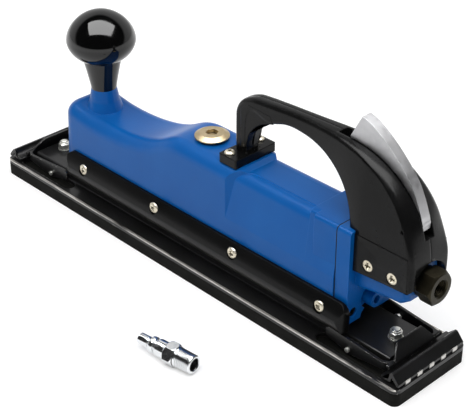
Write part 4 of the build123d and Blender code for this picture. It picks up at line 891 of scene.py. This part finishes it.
def crowned_shift(point, line):
    """How far a point of the bow sinks when its back is crowned."""
    flat = Vector((point.x, point.z))
    best, inward = None, None
    for start, end, normal in line:
        near, share = intersect_point_line(flat, start, end)
        near = start if share < 0 else end if share > 1 else near
        gap = (flat - near).length
        if best is None or gap < best:
            best, inward = gap, normal
    if best > crown_depth:
        return Vector((0, 0, 0))
    fade = 1 - best / crown_depth
    height = min(1, max(0, (point.z - crown_low) / (crown_full - crown_low)))
    fall = crown_fall * (abs(point.y) / crown_side) ** 2 * fade * height * height * (3 - 2 * height)
    return Vector((inward.x, 0, inward.y)) * fall


def corner_web(side):
    """Fills the bow's front corner to the round inner line that the photograph shows."""
    build = bmesh.new()
    build.from_mesh(prism(bow_corner + inside_bow, *sorted((side * web_flank, side * web_middle))))
    inner = {(round(x, 2), round(z, 2)) for x, z in bow_corner}

    def on_rim(vert):
        return (abs(abs(vert.co.y) - web_flank * MM) < weld
                and (round(vert.co.x / MM, 2), round(vert.co.z / MM, 2)) in inner)
    bmesh.ops.dissolve_limit(build, angle_limit=web_flat, verts=build.verts, edges=build.edges)
    rim = [edge for edge in build.edges if all(on_rim(vert) for vert in edge.verts)]
    bmesh.ops.bevel(build, geom=rim, offset=web_rounding, segments=5, profile=0.5, affect="EDGES",
                    clamp_overlap=True)
    return to_mesh(build, "corner_web")


def handle_shell(node):
    """A handle half, sliced lengthwise so that its back can be crowned and its parting edge sunk."""
    build = welded(node)
    side = 1 if sum(vert.co.y for vert in build.verts) > 0 else -1
    levels = [groove_width] + steps(slice_step, crown_side, int(crown_side / slice_step))[:-1]
    for level in levels:
        everything = list(build.verts) + list(build.edges) + list(build.faces)
        bmesh.ops.bisect_plane(build, geom=everything, dist=weld, plane_co=(0, side * level, 0),
                               plane_no=(0, 1, 0))
    line = back_line(build)
    build.normal_update()
    sunk = []
    for vert in build.verts:
        if abs(vert.co.y) > weld:
            continue
        normals = [face.normal for face in vert.link_faces if abs(face.normal.y) < flank_normal]
        outward = sum(normals, Vector())
        if outward.length > 0:
            sunk.append((vert, outward.normalized() * groove_depth))
    moved = [(vert, crowned_shift(vert.co, line)) for vert in build.verts]
    for vert, shift in moved:
        vert.co += shift
    for vert, shift in sunk:
        vert.co -= shift
    build.from_mesh(corner_web(side))
    bmesh.ops.recalc_face_normals(build, faces=build.faces)
    name = node.replace("half", "shell")
    add_piece(to_mesh(build, name), name, slot_of[node], body_of[node], node)


# Throttle lever with its edges rounded and a short tail at the foot of its blade

lever_tail = [(187.6, 118.2), (188.3, 116.0), (188.8, 113.8), (189.1, 111.6), (189.15, 109.2), (185.6, 108.4),
              (183.4, 112.5), (184.4, 118.6)]
lever_rounding = 0.7 * MM
lever_flat = math.radians(0.8)
lever_edge = math.radians(50)


def make_lever():
    low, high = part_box("throttle_lever")
    tail = prism(lever_tail, low.y / MM, high.y / MM)
    build = bmesh.new()
    build.from_mesh(cut(to_mesh(welded("throttle_lever"), "lever"), [tail], "UNION"))
    bmesh.ops.remove_doubles(build, verts=build.verts, dist=weld)
    bmesh.ops.dissolve_limit(build, angle_limit=lever_flat, verts=build.verts, edges=build.edges)
    rims = [edge for edge in build.edges if len(edge.link_faces) == 2 and edge.calc_face_angle() > lever_edge]
    bmesh.ops.bevel(build, geom=rims, offset=lever_rounding, segments=3, profile=0.5, affect="EDGES",
                    clamp_overlap=True)
    bmesh.ops.triangulate(build, faces=[face for face in build.faces if len(face.verts) > 4])
    mesh = to_mesh(build, "cast_lever")
    add_piece(mesh, "cast_lever", "cast_aluminium", "lever", "throttle_lever")


# Floor, world and lamps

lamp_aim = Vector((0, 0, 0.08))
floor_size = 8
floor_albedo = 0.80
near_glow = 0.30
far_glow = 0.85
near_edge = 0.28
far_edge = 0.75
fill = 0.42
backdrop_glow = 0.8
backdrop_azimuth = math.radians(46.15)
backdrop_lean = 1.1
backdrop_top = 0.05
ceiling_glow = 0.024
ceiling_start = 0.25


def make_floor():
    """A pale floor that a camera or a reflection sees as white, and that keeps the tool's shadow."""
    build = bmesh.new()
    bmesh.ops.create_grid(build, x_segments=2, y_segments=2, size=floor_size)
    mesh = to_mesh(build, "floor")
    floor = bpy.data.objects.new("floor", mesh)
    floor.location.z = cad_box[0].z
    scene.collection.objects.link(floor)
    surface = Finish("floor_white", (floor_albedo,) * 3, 0.9, shine=0)
    path = surface.node("ShaderNodeLightPath")
    seen = any_of(surface.tree, [path.outputs[name] for name in
                                 ("Is Camera Ray", "Is Glossy Ray", "Is Transmission Ray")])
    surface.shader.inputs["Emission Color"].default_value = white
    away = surface.node("ShaderNodeVectorMath", operation="LENGTH")
    surface.join(surface.place(), away.inputs[0])
    glow = surface.span(away.outputs["Value"], near_edge, far_edge, near_glow, far_glow)
    surface.into("Emission Strength", surface.times(seen, glow))
    surface.into("Roughness", surface.span(surface.noise(scale=5), 0, 1, 0.85, 0.95))
    mesh.materials.append(surface.done())


def background(tree, strength):
    made = tree.nodes.new("ShaderNodeBackground")
    made.inputs["Color"].default_value = white
    made.inputs["Strength"].default_value = strength
    return made


def chosen(tree, mask, first, second):
    """The first shader where the mask is 0, the second where it is 1."""
    made = tree.nodes.new("ShaderNodeMixShader")
    tree.links.new(mask, made.inputs[0])
    tree.links.new(first.outputs[0], made.inputs[1])
    tree.links.new(second.outputs[0], made.inputs[2])
    return made


def make_world():
    """White for the camera, an even fill, and in reflections a pale sweep behind under a dark ceiling."""
    world = bpy.data.worlds.new("studio")
    scene.world = world
    world.use_nodes = True
    tree = world.node_tree
    tree.nodes.remove(tree.nodes["Background"])
    path = tree.nodes.new("ShaderNodeLightPath")
    place = tree.nodes.new("ShaderNodeTexCoord")
    lean = tree.nodes.new("ShaderNodeVectorMath")
    lean.operation = "DOT_PRODUCT"
    lean.inputs[1].default_value = (backdrop_lean * math.sin(backdrop_azimuth),
                                    -backdrop_lean * math.cos(backdrop_azimuth), 1)
    tree.links.new(place.outputs["Generated"], lean.inputs[0])
    level = tree.nodes.new("ShaderNodeMapRange")
    level.inputs["From Min"].default_value = backdrop_top
    level.inputs["From Max"].default_value = ceiling_start
    level.inputs["To Min"].default_value = backdrop_glow
    level.inputs["To Max"].default_value = ceiling_glow
    tree.links.new(lean.outputs["Value"], level.inputs["Value"])
    mirrored = background(tree, backdrop_glow)
    tree.links.new(level.outputs["Result"], mirrored.inputs["Strength"])
    visible = any_of(tree, [path.outputs["Is Camera Ray"], path.outputs["Is Transmission Ray"]])
    light = chosen(tree, path.outputs["Is Glossy Ray"], background(tree, fill), mirrored)
    sky = chosen(tree, visible, light, background(tree, 1))
    tree.links.new(sky.outputs[0], tree.nodes["World Output"].inputs["Surface"])


def lamp(name, place, size, power, lights=True, mirrored=True):
    data = bpy.data.lights.new(name, "AREA")
    data.shape = "RECTANGLE"
    data.size, data.size_y = size
    data.energy = power
    made = bpy.data.objects.new(name, data)
    made.location = place
    made.rotation_euler = (lamp_aim - Vector(place)).to_track_quat("-Z", "Y").to_euler()
    made.visible_camera = False
    made.visible_diffuse = lights
    made.visible_glossy = mirrored
    scene.collection.objects.link(made)


def make_lamps():
    """One overhead softbox with a brighter face in reflections, a soft key lamp and two dim side lamps."""
    lamp("softbox", place=(0.10, -0.10, 1.25), size=(1.6, 1.0), power=7)
    lamp("softbox_face", place=(0.10, -0.10, 1.24), size=(1.6, 1.0), power=38, lights=False)
    lamp("key_box", place=(0.42, -0.42, 1.15), size=(1.0, 0.75), power=6, mirrored=False)
    lamp("side_box", place=(-0.9, -0.9, 0.75), size=(0.5, 0.8), power=3, mirrored=False)
    lamp("rear_box", place=(-0.3, 1.1, 0.9), size=(0.9, 0.5), power=2.5, mirrored=False)


# The scene

make_camera()
finishes = {name: made.done() for name, made in make_finishes().items()}
for name, piece in nodes.items():
    piece.data.materials.clear()
    piece.data.materials.append(finishes[own_finish.get(name, slot_of[name])])
make_screws()
make_nuts()
make_studs()
make_bushing()
make_nipple()
make_clips()
make_nose()
make_knob()
handle_shell("handle_near_half")
handle_shell("handle_far_half")
make_lever()
make_floor()
make_world()
make_lamps()
scene.view_settings.view_transform = "Standard"
